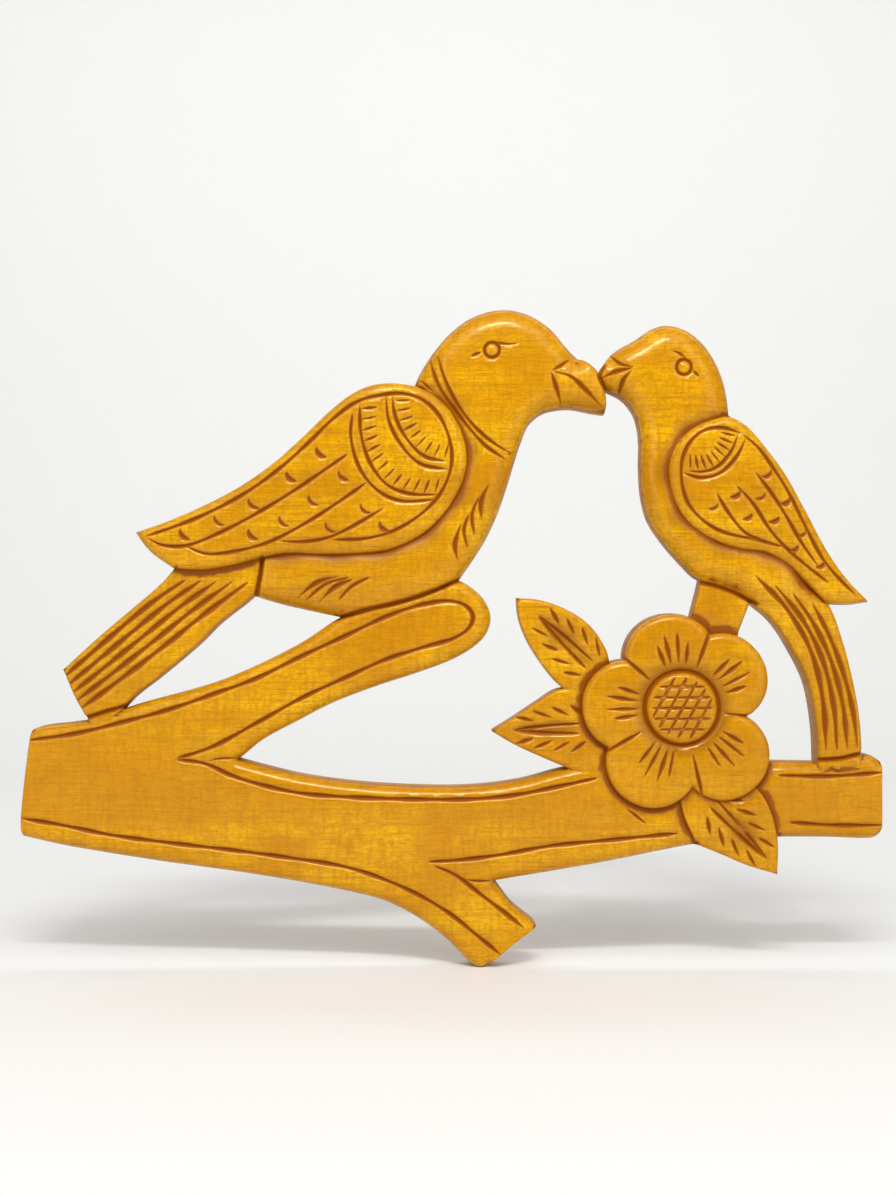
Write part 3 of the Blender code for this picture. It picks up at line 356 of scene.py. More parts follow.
# Each cut between two petals, and each fan of strokes on a petal: direction, where it begins and ends
PETAL_DIVIDES = ((70, 40, 94), (-7, 40, 86), (-77, 44, 94), (-150, 44, 102), (139, 40, 88))
PETAL_STROKES = ((99, 43, 83), (33, 43, 84), (-43, 44, 86), (-114, 41, 86), (176, 42, 84))
PETAL_STROKE_SPREAD = (-14, -5, 5, 13)
LOWER_LEAF_FEET = (
    ((678, 794), (685, 820), (697, 845)),
    ((778, 834), (775, 820), (768, 802), (756, 785)),
)
LEAF_OUTLINES = (
    (
        (CRISP, (517, 598), (540, 600), (566, 609), (590, 625), (607, 650), (612, 670)),
        (HIDDEN, (612, 670), (640, 700), (610, 715), (592, 708)),
        (CRISP, (592, 708), (559, 685), (541, 663), (527, 640), (519, 618), (517, 598)),
    ),
    (
        (CRISP, (492, 732), (513, 719), (537, 703), (559, 690), (594, 690)),
        (HIDDEN, (594, 690), (640, 700), (630, 760), (600, 781)),
        (CRISP, (600, 781), (566, 768), (540, 757), (514, 745), (492, 732)),
    ),
    (
        (PROUD_EDGE, *LOWER_LEAF_FEET[0]),
        (CRISP, (697, 845), (722, 855), (748, 866), (778, 875)),
        (CRISP, (778, 875), (779, 851), (778, 834)),
        (PROUD_EDGE, *LOWER_LEAF_FEET[1]),
        (HIDDEN, (756, 785), (715, 765), (678, 794)),
    ),
)
LEAF_RIBS = (
    ((537, 614), (562, 637), (592, 667)),
    ((511, 731), (545, 730), (583, 729)),
    ((769, 861), (745, 835), (712, 802)),
)
LEAF_RIB_SPREAD = 5
LEAF_RIB_WAIST = 3.5
# Where a vein begins near the leaf's edge and where it ends near the rib: along the rib, and out from it
LEAF_VEIN_BEGIN = ((4, 14), (22, 19), (40, 23), (58, 25))
LEAF_VEIN_END = ((25, 8), (43, 11), (61, 12), (77, 12))

# Where two raised parts meet: under the belly, at the tail, the thigh, the small tail, the stem and the beaks
SEAMS = (
    ((336, 619), (361, 611), (403, 601), (430, 592), (466, 577)),
    ((80, 720), (105, 712), (140, 702)),
    ((262, 558), (259, 578), (254, 600)),
    ((808, 761), (838, 759), (868, 753)),
    ((690, 580), (715, 585), (735, 592), (758, 604)),
    ((604, 366), (600, 375), (607, 390)),
)

# Finer strokes that only the visual piece carries: at the big bird's eye and neck, at the small bird's
# eye, and in the valleys and beside the flower on the branch
HEAD_STROKES = (
    ((482, 352), (476, 354), (470, 357)),
    ((485, 345), (495, 343), (508, 344), (521, 343)),
    ((416, 384), (422, 388), (429, 396)),
    ((420, 379), (426, 385), (433, 392)),
)
SMALL_HEAD_STROKES = (
    ((671, 350), (679, 353), (687, 359)),
    ((693, 370), (696, 373), (699, 377)),
)
BRANCH_STROKES = (
    ((205, 762), (220, 759), (238, 759)),
    ((462, 880), (476, 882), (493, 882)),
    ((625, 808), (636, 816), (648, 826)),
)
LEG_LINE = ((261, 562), (259, 578), (257, 596))


def on_board(points):
    """Pattern points as metres across and up from the middle of the wall face."""
    return (np.array(points, dtype=float) - WALL_FACE_AT) * (UNIT, -UNIT)


def curve_through(points):
    """A dense smooth curve through the points, its bends in proportion to their spacing."""
    if len(points) == 2:
        return points[0] + np.linspace(0, 1, CURVE_STEPS)[:, None] * (points[1] - points[0])
    padded = np.vstack([2 * points[0] - points[1], points, 2 * points[-1] - points[-2]])
    gaps = np.linalg.norm(np.diff(padded, axis=0), axis=1) ** 0.5
    knots = np.concatenate([[0], np.cumsum(gaps)])
    pieces = []
    for i in range(1, len(padded) - 2):
        k0, k1, k2, k3 = knots[i - 1:i + 3]
        t = np.linspace(k1, k2, CURVE_STEPS, endpoint=False)[:, None]
        blend = padded[i - 1:i + 3]
        for spans in (((k0, k1), (k1, k2), (k2, k3)), ((k0, k2), (k1, k3)), ((k1, k2),)):
            blend = [((b - t) * p + (t - a) * q) / (b - a) for p, q, (a, b) in zip(blend, blend[1:], spans)]
        pieces.append(blend[0])
    return np.vstack(pieces + [points[-1:]])


def arc_lengths(line):
    """The distance along a line to each of its points."""
    return np.concatenate([[0], np.cumsum(np.linalg.norm(np.diff(line, axis=0), axis=1))])


def chords(points, longest=LONGEST_CHORD):
    """A smooth curve through the points, as chords that leave it by no more than CURVE_SAG."""
    dense = curve_through(points)
    steps = np.diff(dense, axis=0)
    lengths = np.linalg.norm(steps, axis=1)
    heading = np.unwrap(np.arctan2(steps[:, 1], steps[:, 0]))
    least_bend = 8 * CURVE_SAG / longest ** 2
    bend = np.maximum(np.abs(np.gradient(heading)) / lengths, least_bend)
    chord = np.maximum(np.sqrt(8 * CURVE_SAG / bend), SHORTEST_CHORD)
    needed = np.concatenate([[0], np.cumsum(lengths / chord)])
    marks = np.linspace(0, needed[-1], math.ceil(needed[-1]) + 1)
    return np.column_stack([np.interp(marks, needed, dense[:, axis]) for axis in (0, 1)])


def nearest_on(line, points):
    """For each point, its distance from the line and how far along the line that is."""
    starts = line[:-1]
    steps = np.diff(line, axis=0)
    lengths = np.linalg.norm(steps, axis=1)
    along = arc_lengths(line)
    distance = np.empty(len(points))
    position = np.empty(len(points))
    for first in range(0, len(points), POINTS_AT_A_TIME):
        some = slice(first, first + POINTS_AT_A_TIME)
        gap = points[some][:, None, :] - starts
        share = np.clip((gap * steps).sum(axis=2) / lengths ** 2, 0, 1)
        away = ((gap - share[:, :, None] * steps) ** 2).sum(axis=2)
        best = away.argmin(axis=1)
        row = np.arange(len(best))
        distance[some] = np.sqrt(away[row, best])
        position[some] = along[best] + share[row, best] * lengths[best]
    return distance, position


def inside(outline, points):
    """Which points lie inside a closed outline."""
    crossings = np.zeros(len(points), dtype=int)
    x, z = points.T
    for (ax, az), (bx, bz) in zip(outline, np.roll(outline, -1, axis=0)):
        if az != bz:
            crossings += ((az > z) != (bz > z)) & (x < (bx - ax) * (z - az) / (bz - az) + ax)
    return crossings % 2 == 1


def sideways(line):
    """The unit direction to the left of the line at each of its points."""
    ahead = np.gradient(line, axis=0)
    if np.allclose(line[0], line[-1], atol=JOINED_POINTS):
        ahead[0] = line[1] - line[-2]
        ahead[-1] = ahead[0]
    ahead /= np.linalg.norm(ahead, axis=1)[:, None]
    return np.column_stack([-ahead[:, 1], ahead[:, 0]])


def edge_drop(style, distance):
    """How far a worked edge falls below the level, at a distance in from the outline."""
    wall, width, depth = style
    wall_width = WALL_WIDTH if wall else 0.0
    over = np.clip((distance - wall_width) / width, 0, 1)
    drop = depth * (1 - np.sqrt(1 - (1 - over) ** 2))
    if wall:
        drop += wall * np.clip(1 - distance / wall_width, 0, 1)
    return drop


def edge_steps(style):
    """The distances in from the outline at which a worked edge needs a line of points."""
    wall, width, _ = style
    wall_width = WALL_WIDTH if wall else 0.0
    first = 0 if wall else 1
    turns = [math.pi / 2 * step / ROUND_CHORDS for step in range(first, ROUND_CHORDS + 1)]
    return [wall_width + width * (1 - math.cos(turn)) for turn in turns]


def hand_worked(points):
    """How far the scraper and the sandpaper went below a true face at each point."""
    chance = np.random.default_rng(WORKING_SEED)
    waves = np.zeros(len(points))
    for length in WORKED_LENGTHS:
        way = chance.uniform(0, 2 * math.pi)
        start = chance.uniform(0, 2 * math.pi)
        across = points @ (math.cos(way), math.sin(way))
        waves += np.sin(2 * math.pi * across / length + start)
    return WORKED_DEPTH * (0.5 + 0.5 * waves / len(WORKED_LENGTHS))


def gouge_profile(across):
    """The depth over a V gouge's stroke, from its lip at 0 to its bottom at 1, a little softened."""
    return 0.5 * across + 0.5 * across * across * (3 - 2 * across)


class Cut:
    """One stroke along a line: a V, or a sunk ground where its bend is more than 1.

    A run-out of nothing leaves its ends at full width.
    """

    def __init__(self, points, width, depth, run_out, bend=1):
        drawn = on_board(points)
        whole = arc_lengths(curve_through(drawn))[-1]
        self.line = chords(drawn, min(LONGEST_CHORD, whole / FEWEST_CHORDS))
        self.along = arc_lengths(self.line)
        self.width = width
        self.depth = depth
        self.bend = bend
        self.run_out = min(run_out, self.along[-1] / 2)
        self.start = float(drawn.sum()) * STROKE_START_SPREAD

    def swing(self, position):
        """The share of the full cut at a place along it, down to nothing where it runs out."""
        wander = 1 + STROKE_WANDER * np.sin(self.start + 2 * math.pi * position / STROKE_WANDER_LENGTH)
        if not self.run_out:
            return np.ones(len(position))
        from_end = np.minimum(position, self.along[-1] - position)
        return np.sqrt(np.clip(from_end / self.run_out, 0, 1)) * wander

    def depth_at(self, points):
        """How deep the stroke cuts at each point."""
        depth = np.zeros(len(points))
        reach = self.width / 2 * (1 + STROKE_WANDER)
        low = self.line.min(axis=0) - reach
        high = self.line.max(axis=0) + reach
        near = np.all((points > low) & (points < high), axis=1)
        if near.any():
            distance, position = nearest_on(self.line, points[near])
            swing = self.swing(position)
            across = 1 - distance / np.maximum(self.width / 2 * swing, JOINED_POINTS)
            across = np.clip(across, 0, 1)
            profile = across ** self.bend if self.bend > 1 else gouge_profile(across)
            depth[near] = self.depth * swing * profile
        return depth

    def guides(self):
        """The bottom of the cut, its sides and its two lips."""
        half = (self.width / 2 * self.swing(self.along))[:, None] * sideways(self.line)
        lines = [self.line]
        for share in CUT_STEPS:
            lines += [self.line + share * half, self.line - share * half]
        return lines


class Raised:
    """One raised part of the relief: its outline, level, swell, worked edges, hollows and cuts."""

    def __init__(self, stretches, sunk, swell=FLAT, cuts=(), hollows=()):
        self.swell, self.swell_reach = swell
        self.level = BOARD_THICKNESS - sunk - self.swell
        self.cuts = list(cuts)
        self.hollows = list(hollows)
        lines = [(style, chords(on_board(points))) for style, *points in stretches]
        self.outline = np.vstack([line[:-1] for _, line in lines])
        self.edges = [(style, line) for style, line in lines if style is not HIDDEN]
        x, z = self.outline.T
        self.inward = np.sign((x * np.roll(z, -1) - z * np.roll(x, -1)).sum())
        self.low = self.outline.min(axis=0) - JOINED_POINTS
        self.high = self.outline.max(axis=0) + JOINED_POINTS

    def holds(self, points):
        """Which points lie on this part, its outline included."""
        found = np.all((points > self.low) & (points < self.high), axis=1)
        if found.any():
            closed = np.vstack([self.outline, self.outline[:1]])
            near = points[found]
            found[found] = inside(self.outline, near) | (nearest_on(closed, near)[0] < JOINED_POINTS)
        return found

    def height(self, points):
        """The height of the worked face above the back, before the cuts."""
        drop = np.zeros(len(points))
        margin = np.full(len(points), self.swell_reach)
        for style, line in self.edges:
            distance = nearest_on(line, points)[0]
            margin = np.minimum(margin, distance)
            drop = np.maximum(drop, edge_drop(style, distance))
        swell = self.swell * (1 - (1 - margin / self.swell_reach) ** 2)
        if self.hollows:
            drop += np.max([hollow.depth_at(points) for hollow in self.hollows], axis=0)
        return self.level + swell - drop

    def deepest_cut(self, points):
        """The deepest of the part's own cuts at each point, and its share of that cut's full depth."""
        deepest = np.zeros(len(points))
        share = np.zeros(len(points))
        for cut in self.cuts:
            depth = cut.depth_at(points)
            deepest = np.maximum(deepest, depth)
            share = np.maximum(share, depth / cut.depth)
        return deepest, share

    def shade_at_edges_and_hollows(self, points):
        """How dark a worked edge or a hollow is made: painted shade along worked edges, and stain pooled with
        painted shade in hollows, from 0 on the face to 1 in a hollow's middle.
        """
        share = np.zeros(len(points))
        for (_, width, _), line in self.edges:
            near = 1 - nearest_on(line, points)[0] / (width * EDGE_SHADE_REACH)
            share = np.maximum(share, EDGE_SHADE * np.clip(near, 0, 1))
        for hollow in self.hollows:
            share = np.maximum(share, hollow.depth_at(points) / hollow.depth)
        return share

    def drafts(self):
        """Lines that the front may need: each with the points that tell whether it shows.

        The last value is how many parts may hold a point for the line to be needed there anyway.
        """
        borders = [line for _, line in self.edges]
        for style, line in self.edges:
            steps = edge_steps(style)
            inwards = self.inward * sideways(line)
            yield line, line + steps[0] * inwards, 1
            for distance in steps:
                ring = line + distance * inwards
                true_distance = np.min([nearest_on(border, ring)[0] for border in borders], axis=0)
                clear = true_distance > distance * RING_CLEARANCE
                for run in runs_of(clear):
                    yield ring[run], ring[run], -1
        for cut in self.cuts:
            for guide in cut.guides():
                yield guide, guide, 0


def runs_of(kept):
    """The slices of two or more neighbours that are kept."""
    edges = np.flatnonzero(np.diff(np.concatenate([[0], kept.astype(int), [0]])))
    return [slice(a, b) for a, b in zip(edges[::2], edges[1::2]) if b - a > 1]


def survey(parts, points):
    """How many parts hold each point, and the height of the front there."""
    count = np.zeros(len(points), dtype=int)
    top = np.zeros(len(points))
    for part in parts:
        held = part.holds(points)
        if held.any():
            count += held
            top[held] = np.maximum(top[held], part.height(points[held]))
    return count, top


def carve(parts, joins, points):
    """The height of the carved front at each point, the share of a full cut, and the share of painted shade
    along worked edges with stain and painted shade in hollows.
    """
    top = np.zeros(len(points))
    cut = np.zeros(len(points))
    edge = np.zeros(len(points))
    for part in parts:
        held = np.flatnonzero(part.holds(points))
        depth, share = part.deepest_cut(points[held])
        own = part.height(points[held]) - depth
        over = own > top[held]
        shown = held[over]
        top[shown] = own[over]
        cut[shown] = share[over]
        # Painted shade along worked edges, and stain with painted shade in hollows
        edge[shown] = part.shade_at_edges_and_hollows(points[shown])
    unheld = np.flatnonzero(top == 0)
    for i in unheld:
        away = np.linalg.norm(points - points[i], axis=1)
        away[unheld] = math.inf
        top[i] = top[away.argmin()]
    for join in joins:
        depth = join.depth_at(points)
        top -= depth
        cut = np.maximum(cut, depth / join.depth)
    return top, cut, edge


def guide_lines(parts, joins):
    """Every line that the triangles of the front must follow, with the points of it to keep."""
    drafts = [(part, *draft) for part in parts for draft in part.drafts()]
    lines = np.vstack([line for _, line, _, _ in drafts])
    probes = np.vstack([probe for _, _, probe, _ in drafts])
    count = survey(parts, lines)[0]
    top = survey(parts, probes)[1]
    first = 0
    for part, line, probe, holders in drafts:
        mine = slice(first, first + len(line))
        first += len(line)
        shows = part.holds(probe) & (part.height(probe) > top[mine] - SHOWING_SLACK)
        yield line, shows | (count[mine] <= holders)
    for join in joins:
        for guide in join.guides():
            yield guide, np.ones(len(guide), dtype=bool)


def on_any(parts, points):
    """Which points lie on the board at all."""
    return np.any([inside(part.outline, points) for part in parts], axis=0)


def spread_points(parts, taken):
    """Points in a honeycomb over the board, clear of the lines, to carry the swell of the faces."""
    tree = KDTree(len(taken))
    for i, point in enumerate(taken):
        tree.insert((*point, 0.0), i)
    tree.balance()
    low = np.min([part.low for part in parts], axis=0)
    high = np.max([part.high for part in parts], axis=0)
    rows = []
    for row, z in enumerate(np.arange(low[1], high[1], GRID_ROW)):
        x = np.arange(low[0] + row % 2 * SWELL_GRID / 2, high[0], SWELL_GRID)
        rows.append(np.column_stack([x, np.full(len(x), z)]))
    grid = np.vstack(rows)
    grid = grid[on_any(parts, grid)]
    return [point for point in grid if tree.find((*point, 0.0))[2] > GRID_CLEARANCE]


def front_triangles(parts, joins):
    """The points of the front across and up, and the triangles between them."""
    points = []
    edges = []
    taken = []
    for line, kept in guide_lines(parts, joins):
        needed = kept.copy()
        needed[1:] |= kept[:-1]
        needed[:-1] |= kept[1:]
        places = len(points) + np.cumsum(needed) - 1
        points += list(line[needed])
        edges += [(places[i], places[i + 1]) for i in range(len(line) - 1) if kept[i] or kept[i + 1]]
        for i in np.flatnonzero(needed[1:] & needed[:-1]):
            pieces = math.ceil(math.dist(line[i], line[i + 1]) / CLEARANCE_STEP) + 1
            taken += list(np.linspace(line[i], line[i + 1], pieces))
    points += spread_points(parts, taken)
    filled = delaunay_2d_cdt([Vector(point) for point in points], edges, [], 0, JOINED_POINTS)
    places = np.array([tuple(place) for place in filled[0]])
    corners = np.array(filled[2])
    return places, corners[on_any(parts, places[corners].mean(axis=1))]


def stain_and_shade_gathered(places, heights, triangles):
    """From 0 to 1, how much dark stain with painted shade lies at each point: the most in cuts and at the
    foot of walls.
    """
    edges = np.vstack([triangles[:, [0, 1]], triangles[:, [1, 2]], triangles[:, [2, 0]]])
    first, second = np.unique(np.sort(edges, axis=1), axis=0).T
    weights = 1 / np.maximum(np.linalg.norm(places[first] - places[second], axis=1), JOINED_POINTS)
    around = heights.copy()
    count = len(places)
    total = np.bincount(first, weights, count) + np.bincount(second, weights, count) + JOINED_POINTS
    for _ in range(STAIN_SMOOTHINGS):
        gathered = np.bincount(first, weights * around[second], count)
        gathered += np.bincount(second, weights * around[first], count)
        around = 0.5 * around + 0.5 * (gathered + JOINED_POINTS * around) / total
    return np.clip((around - heights) / STAIN_AND_SHADE_DEPTH, 0, 1)


def only(kind, items):
    """The items of one kind: corners, edges or faces."""
    return [item for item in items if isinstance(item, kind)]


def carved_mesh(parts, joins):
    """The board as one closed mesh: the carved front, and the sawn walls and flat back in a second finish."""
    places, triangles = front_triangles(parts, joins)
    heights, cut, edge = carve(parts, joins, places)
    # Stain in the cuts, and stain with painted shade in low places
    stain_and_shade = np.maximum(cut, stain_and_shade_gathered(places, heights, triangles))
    heights -= hand_worked(places)
    low, high = SOLID_BOX
    places = np.clip(places, (low[0], low[2]), (high[0], high[2]))
    bm = bmesh.new()
    # The stain attribute carries stain with painted shade in low places; the edge attribute carries painted
    # shade along worked edges and in hollows
    stain_and_shade_layer = bm.verts.layers.float.new("stain_and_shade")
    edge_shade_layer = bm.verts.layers.float.new("edge")
    verts = {i: bm.verts.new((places[i][0], -heights[i], places[i][1])) for i in np.unique(triangles)}
    for i, vert in verts.items():
        vert[stain_and_shade_layer] = stain_and_shade[i]
        vert[edge_shade_layer] = edge[i]
    for triangle in triangles:
        bm.faces.new([verts[i] for i in triangle])
    rim = [edge for edge in bm.edges if edge.is_boundary]
    walls = bmesh.ops.extrude_edge_only(bm, edges=rim)["geom"]
    for vert in only(BMVert, walls):
        vert.co.y = 0.0
        vert[stain_and_shade_layer] = 0.0
    back = [edge for edge in only(BMEdge, walls) if edge.is_boundary]
    filled = bmesh.ops.triangle_fill(bm, use_beauty=True, use_dissolve=False, edges=back, normal=(0, 1, 0))
    for face in only(BMFace, walls + filled["geom"]):
        face.material_index = 1
    bmesh.ops.recalc_face_normals(bm, faces=bm.faces)
    mesh = bpy.data.meshes.new("carved_relief")
    bm.to_mesh(mesh)
    bm.free()
    mesh.shade_smooth()
    mesh.set_sharp_from_angle(angle=math.radians(SHARP_ANGLE))
    return mesh


def cut_along(lines, size):
    """A cut of one size along each of the lines."""
    return [Cut(points, *size) for points in lines]


def outward(centre, direction, distance):
    """The pattern point at a direction in degrees and a distance from a centre."""
    angle = math.radians(direction)
    return (centre[0] + distance * math.cos(angle), centre[1] - distance * math.sin(angle))


def ring_points(centre, radius):
    """Points of the pattern evenly round a circle, the first one repeated at the end."""
    return [outward(centre, 360 * i / RING_POINTS, radius) for i in range(RING_POINTS + 1)]


def places_along(line, shares):
    """The places at shares of the way along a smooth curve through a line of the pattern."""
    smooth = curve_through(np.array(line, dtype=float))
    along = arc_lengths(smooth)
    return np.column_stack([np.interp(shares, along / along[-1], smooth[:, axis]) for axis in (0, 1)])


def between(first, last, count):
    """Lines spread evenly from a first to a last line of the pattern."""
    marks = np.linspace(0, 1, max(len(first), len(last)))
    ends = [places_along(line, marks) for line in (first, last)]
    for share in np.linspace(0, 1, count):
        yield ends[0] + share * (ends[1] - ends[0])


def hatches(arc, focus, count):
    """Short strokes from even places along an arc towards a focus."""
    for foot in places_along(arc, (np.arange(count) + 0.5) / count):
        way = (focus - foot) / np.linalg.norm(focus - foot)
        yield Cut([foot + HATCH_CLEAR * way, foot + HATCH_LENGTH * way], *STROKE)


def scales(places, stroke):
    """The same curled stroke at each of the places."""
    return cut_along([np.array(stroke) + place for place in places], SCALE)


def disc_hatches():
    """Crossed lines over the disc: level ones, and ones that lean down to the left."""
    for turn in (0, DISC_HATCH_SLANT):
        for i in range(DISC_HATCH_LINES):
            offset = DISC_HATCH_SPACING * (i - (DISC_HATCH_LINES - 1) / 2)
            half = math.sqrt(DISC_RADIUS ** 2 - offset ** 2) - DISC_HATCH_CLEAR
            middle = outward(FLOWER_CENTRE, turn + 90, offset)
            yield Cut([outward(middle, turn, -half), outward(middle, turn, half)], *DISC_HATCH)


def petal_points(direction, reach, half_length, half_width):
    """Points of the pattern evenly round a petal, the first one repeated at the end."""
    middle = outward(FLOWER_CENTRE, direction, reach)
    points = []
    for turn in np.linspace(0, 2 * math.pi, RING_POINTS + 1):
        tip = outward(middle, direction, half_length * math.cos(turn))
        points.append(outward(tip, direction + 90, half_width * math.sin(turn)))
    return points


def petal_feet():
    """The sunk ground along the foot of each petal."""
    return cut_along([petal_points(*petal) for petal in PETALS], PETAL_HOLLOW)


def leaf_point(rib, along, out):
    """The pattern point at a distance along a leaf's rib from its tip, and out to one side of it."""
    begin, end = np.array(rib[0], dtype=float), np.array(rib[-1], dtype=float)
    way = (end - begin) / math.dist(begin, end)
    return begin + along * way + out * np.array([-way[1], way[0]])


def leaf_cuts(rib):
    """Two cuts that leave a raised midrib between them, and veins that run in from the edges."""
    length = math.dist(rib[0], rib[-1])
    for hand in (-1, 1):
        middle = leaf_point(rib, length / 2, hand * LEAF_RIB_WAIST)
        foot = leaf_point(rib, length, hand * LEAF_RIB_SPREAD)
        yield Cut([leaf_point(rib, 0, 0), middle, foot], *FEATHER_CUT)
        for (begin, begin_out), (end, end_out) in zip(LEAF_VEIN_BEGIN, LEAF_VEIN_END):
            edge_end = leaf_point(rib, begin, hand * begin_out)
            yield Cut([edge_end, leaf_point(rib, end, hand * end_out)], *FLUTE)


def petal_strokes():
    """The strokes that fan out over each petal from the disc, and the cuts between the petals."""
    for direction, begin, end in PETAL_STROKES:
        for turn in PETAL_STROKE_SPREAD:
            foot = outward(FLOWER_CENTRE, direction + turn, begin)
            yield Cut([foot, outward(FLOWER_CENTRE, direction + turn, end - abs(turn))], *FLUTE)
    for direction, begin, end in PETAL_DIVIDES:
        foot = outward(FLOWER_CENTRE, direction, begin)
        yield Cut([foot, outward(FLOWER_CENTRE, direction, end)], *FEATHER_CUT)


def branch():
    """The branch with its stub and its twig, sunk at the feet of the petals and the lower leaf."""
    cuts = cut_along(BRANCH_BORDER_CUTS, BORDER_CUT) + cut_along(BRANCH_STROKES, STROKE)
    feet = petal_feet() + cut_along(LOWER_LEAF_FEET, LEAF_FOOT_HOLLOW)
    return [Raised(BRANCH_OUTLINE, BRANCH_SUNK, cuts=cuts, hollows=feet)]


def big_bird():
    """The big bird's tail, its body with the head, and its wing."""
    flutes = cut_along(between(TAIL_TOP_FLUTE, TAIL_FOOT_FLUTE, TAIL_FLUTES), TAIL_FLUTE)
    body_cuts = cut_along(COLLAR_CUTS, FEATHER_CUT)
    body_cuts += cut_along(BIG_BEAK_CUTS, BEAK_CUT)
    body_cuts += cut_along(BREAST_CUTS + BELLY_CUTS, BREAST_STROKE)
    body_cuts.append(Cut(ring_points(BIG_EYE, EYE_RADIUS), *EYE_RING))
    body_cuts += cut_along(HEAD_STROKES, STROKE)
    body_cuts.append(Cut(LEG_LINE, *FLUTE))
    wing_cuts = cut_along(WING_CUTS + SHOULDER_ARCS + EPAULETTE_ARCS, FEATHER_CUT)
    wing_cuts += hatches(SHOULDER_ARCS[1], HATCH_FOCUS, SHOULDER_HATCHES)
    wing_cuts += hatches(EPAULETTE_ARCS[1], HATCH_FOCUS, EPAULETTE_HATCHES)
    wing_cuts += scales(SCALES_AT, SCALE_STROKE)
    return [
        Raised(TAIL_OUTLINE, TAIL_SUNK, cuts=flutes),
        Raised(BODY_OUTLINE, BODY_SUNK, BODY_SWELL, body_cuts, [Cut(WING_FOOT, *WING_HOLLOW)]),
        Raised(WING_OUTLINE, WING_SUNK, WING_SWELL, wing_cuts),
    ]


def small_bird():
    """The small bird's body with its head and tail, and its wing."""
    flutes = between(SMALL_TAIL_INNER_FLUTE, SMALL_TAIL_OUTER_FLUTE, SMALL_TAIL_FLUTES)
    body_cuts = cut_along(SMALL_BEAK_CUTS, BEAK_CUT) + cut_along(flutes, TAIL_FLUTE)
    body_cuts.append(Cut(ring_points(SMALL_EYE, EYE_RADIUS), *EYE_RING))
    body_cuts += cut_along(SMALL_HEAD_STROKES, STROKE)
    wing_cuts = cut_along(SMALL_WING_CUTS + SMALL_SHOULDER_ARCS, FEATHER_CUT)
    wing_cuts += hatches(SMALL_SHOULDER_ARCS[1], SMALL_HATCH_FOCUS, SMALL_HATCHES)
    wing_cuts += scales(SMALL_SCALES_AT, SMALL_SCALE_STROKE)
    body_hollows = [Cut(SMALL_WING_FOOT, *WING_HOLLOW)]
    return [
        Raised(SMALL_BIRD_OUTLINE, SMALL_BODY_SUNK, BODY_SWELL, body_cuts, body_hollows),
        Raised(SMALL_WING_OUTLINE, SMALL_WING_SUNK, WING_SWELL, wing_cuts),
    ]


def flower():
    """The stem, the leaves, the petals round the heart of the flower, and its disc."""
    feet = petal_feet()
    parts = [Raised(STEM_OUTLINE, STEM_SUNK, hollows=feet)]
    for outline, rib, sunk in zip(LEAF_OUTLINES, LEAF_RIBS, LEAVES_SUNK):
        hollows = [Cut(rib, *LEAF_HOLLOW), *feet]
        parts.append(Raised(outline, sunk, cuts=leaf_cuts(rib), hollows=hollows))
    ring = ring_points(FLOWER_CENTRE, DISC_RING_RADIUS)
    cuts = [*petal_strokes(), Cut(ring, *DISC_RING)]
    hollows = [Cut(ring, *DISC_HOLLOW)]
    for petal in PETALS:
        outline = [(PETAL_EDGE, *petal_points(*petal))]
        parts.append(Raised(outline, FLOWER_SUNK, PETAL_SWELL, cuts, hollows))
    heart = [(HIDDEN, *ring_points(FLOWER_CENTRE, FLOWER_HEART_RADIUS))]
    parts.append(Raised(heart, FLOWER_SUNK, cuts=cuts, hollows=hollows))
    disc = [(CRISP, *ring_points(FLOWER_CENTRE, DISC_RADIUS))]
    parts.append(Raised(disc, DISC_SUNK, DISC_SWELL, disc_hatches()))
    return parts


# Colours, as they look in even light
GOLD = "#E8AC02"
DEEP_GOLD = "#C88400"
STREAK = "#AA7006"
PORE = "#8E560A"
# Painted shade: the amber of darker patches beneath and between overlapping parts
SHADE_AMBER = "#B87208"
CUT_STAIN = "#8E4600"
# Painted shade: the brown along the worked edges and in the hollows, where stain also pools
EDGE_SHADE_BROWN = "#8C5200"
SAWN_TAN = "#9A6414"
LACQUER_TINT = "#FFE4AC"
PAPER = "#EBEBE9"


def linear(colour):
    """A sRGB hex colour as linear red, green, blue and alpha."""
    shares = [int(colour[i:i + 2], 16) / 255 for i in (1, 3, 5)]
    bent = [share / 12.92 if share <= 0.04045 else ((share + 0.055) / 1.055) ** 2.4 for share in shares]
    return (*bent, 1.0)


def add(tree, kind, settings, inputs):
    """A shader node of a kind with its settings, and its inputs linked or set."""
    node = tree.nodes.new("ShaderNode" + kind)
    for name, value in settings.items():
        setattr(node, name, value)
    for name, value in inputs.items():
        if isinstance(value, bpy.types.NodeSocket):
            tree.links.new(value, node.inputs[name])
        else:
            node.inputs[name].default_value = value
    return node


# Which inputs of a colour mix are its share and its two colours, and which output its result
MIX_SHARE = 0
MIX_UNDER = 6
MIX_OVER = 7
MIX_RESULT = 2
# The grain: how long, deep and high a feature of each layer is, in metres. The board's grain runs along X.
# Real pores are about 0.15 mm high, and they are drawn as coarse as a picture of the whole panel can show.
GRAIN = {
    "band": (0.300, 0.040, 0.016),
    "streak": (0.060, 0.012, 0.0016),
    "fibre": (0.010, 0.003, 0.0006),
    "pore": (0.012, 0.003, 0.0007),
    "figure": (0.0018, 0.009, 0.010),
    "speck": (0.0016, 0.0016, 0.0011),
    "mottle": (0.030, 0.030, 0.020),
    "ripple": (0.0026, 0.0026, 0.0016),
}
GRAIN_DETAIL = 2.0
# How far the grain wanders up and down, and how often in a metre
GRAIN_DRIFT = 0.006
GRAIN_DRIFT_SCALE = 7.0
GRAIN_DRIFT_DETAIL = 1.0
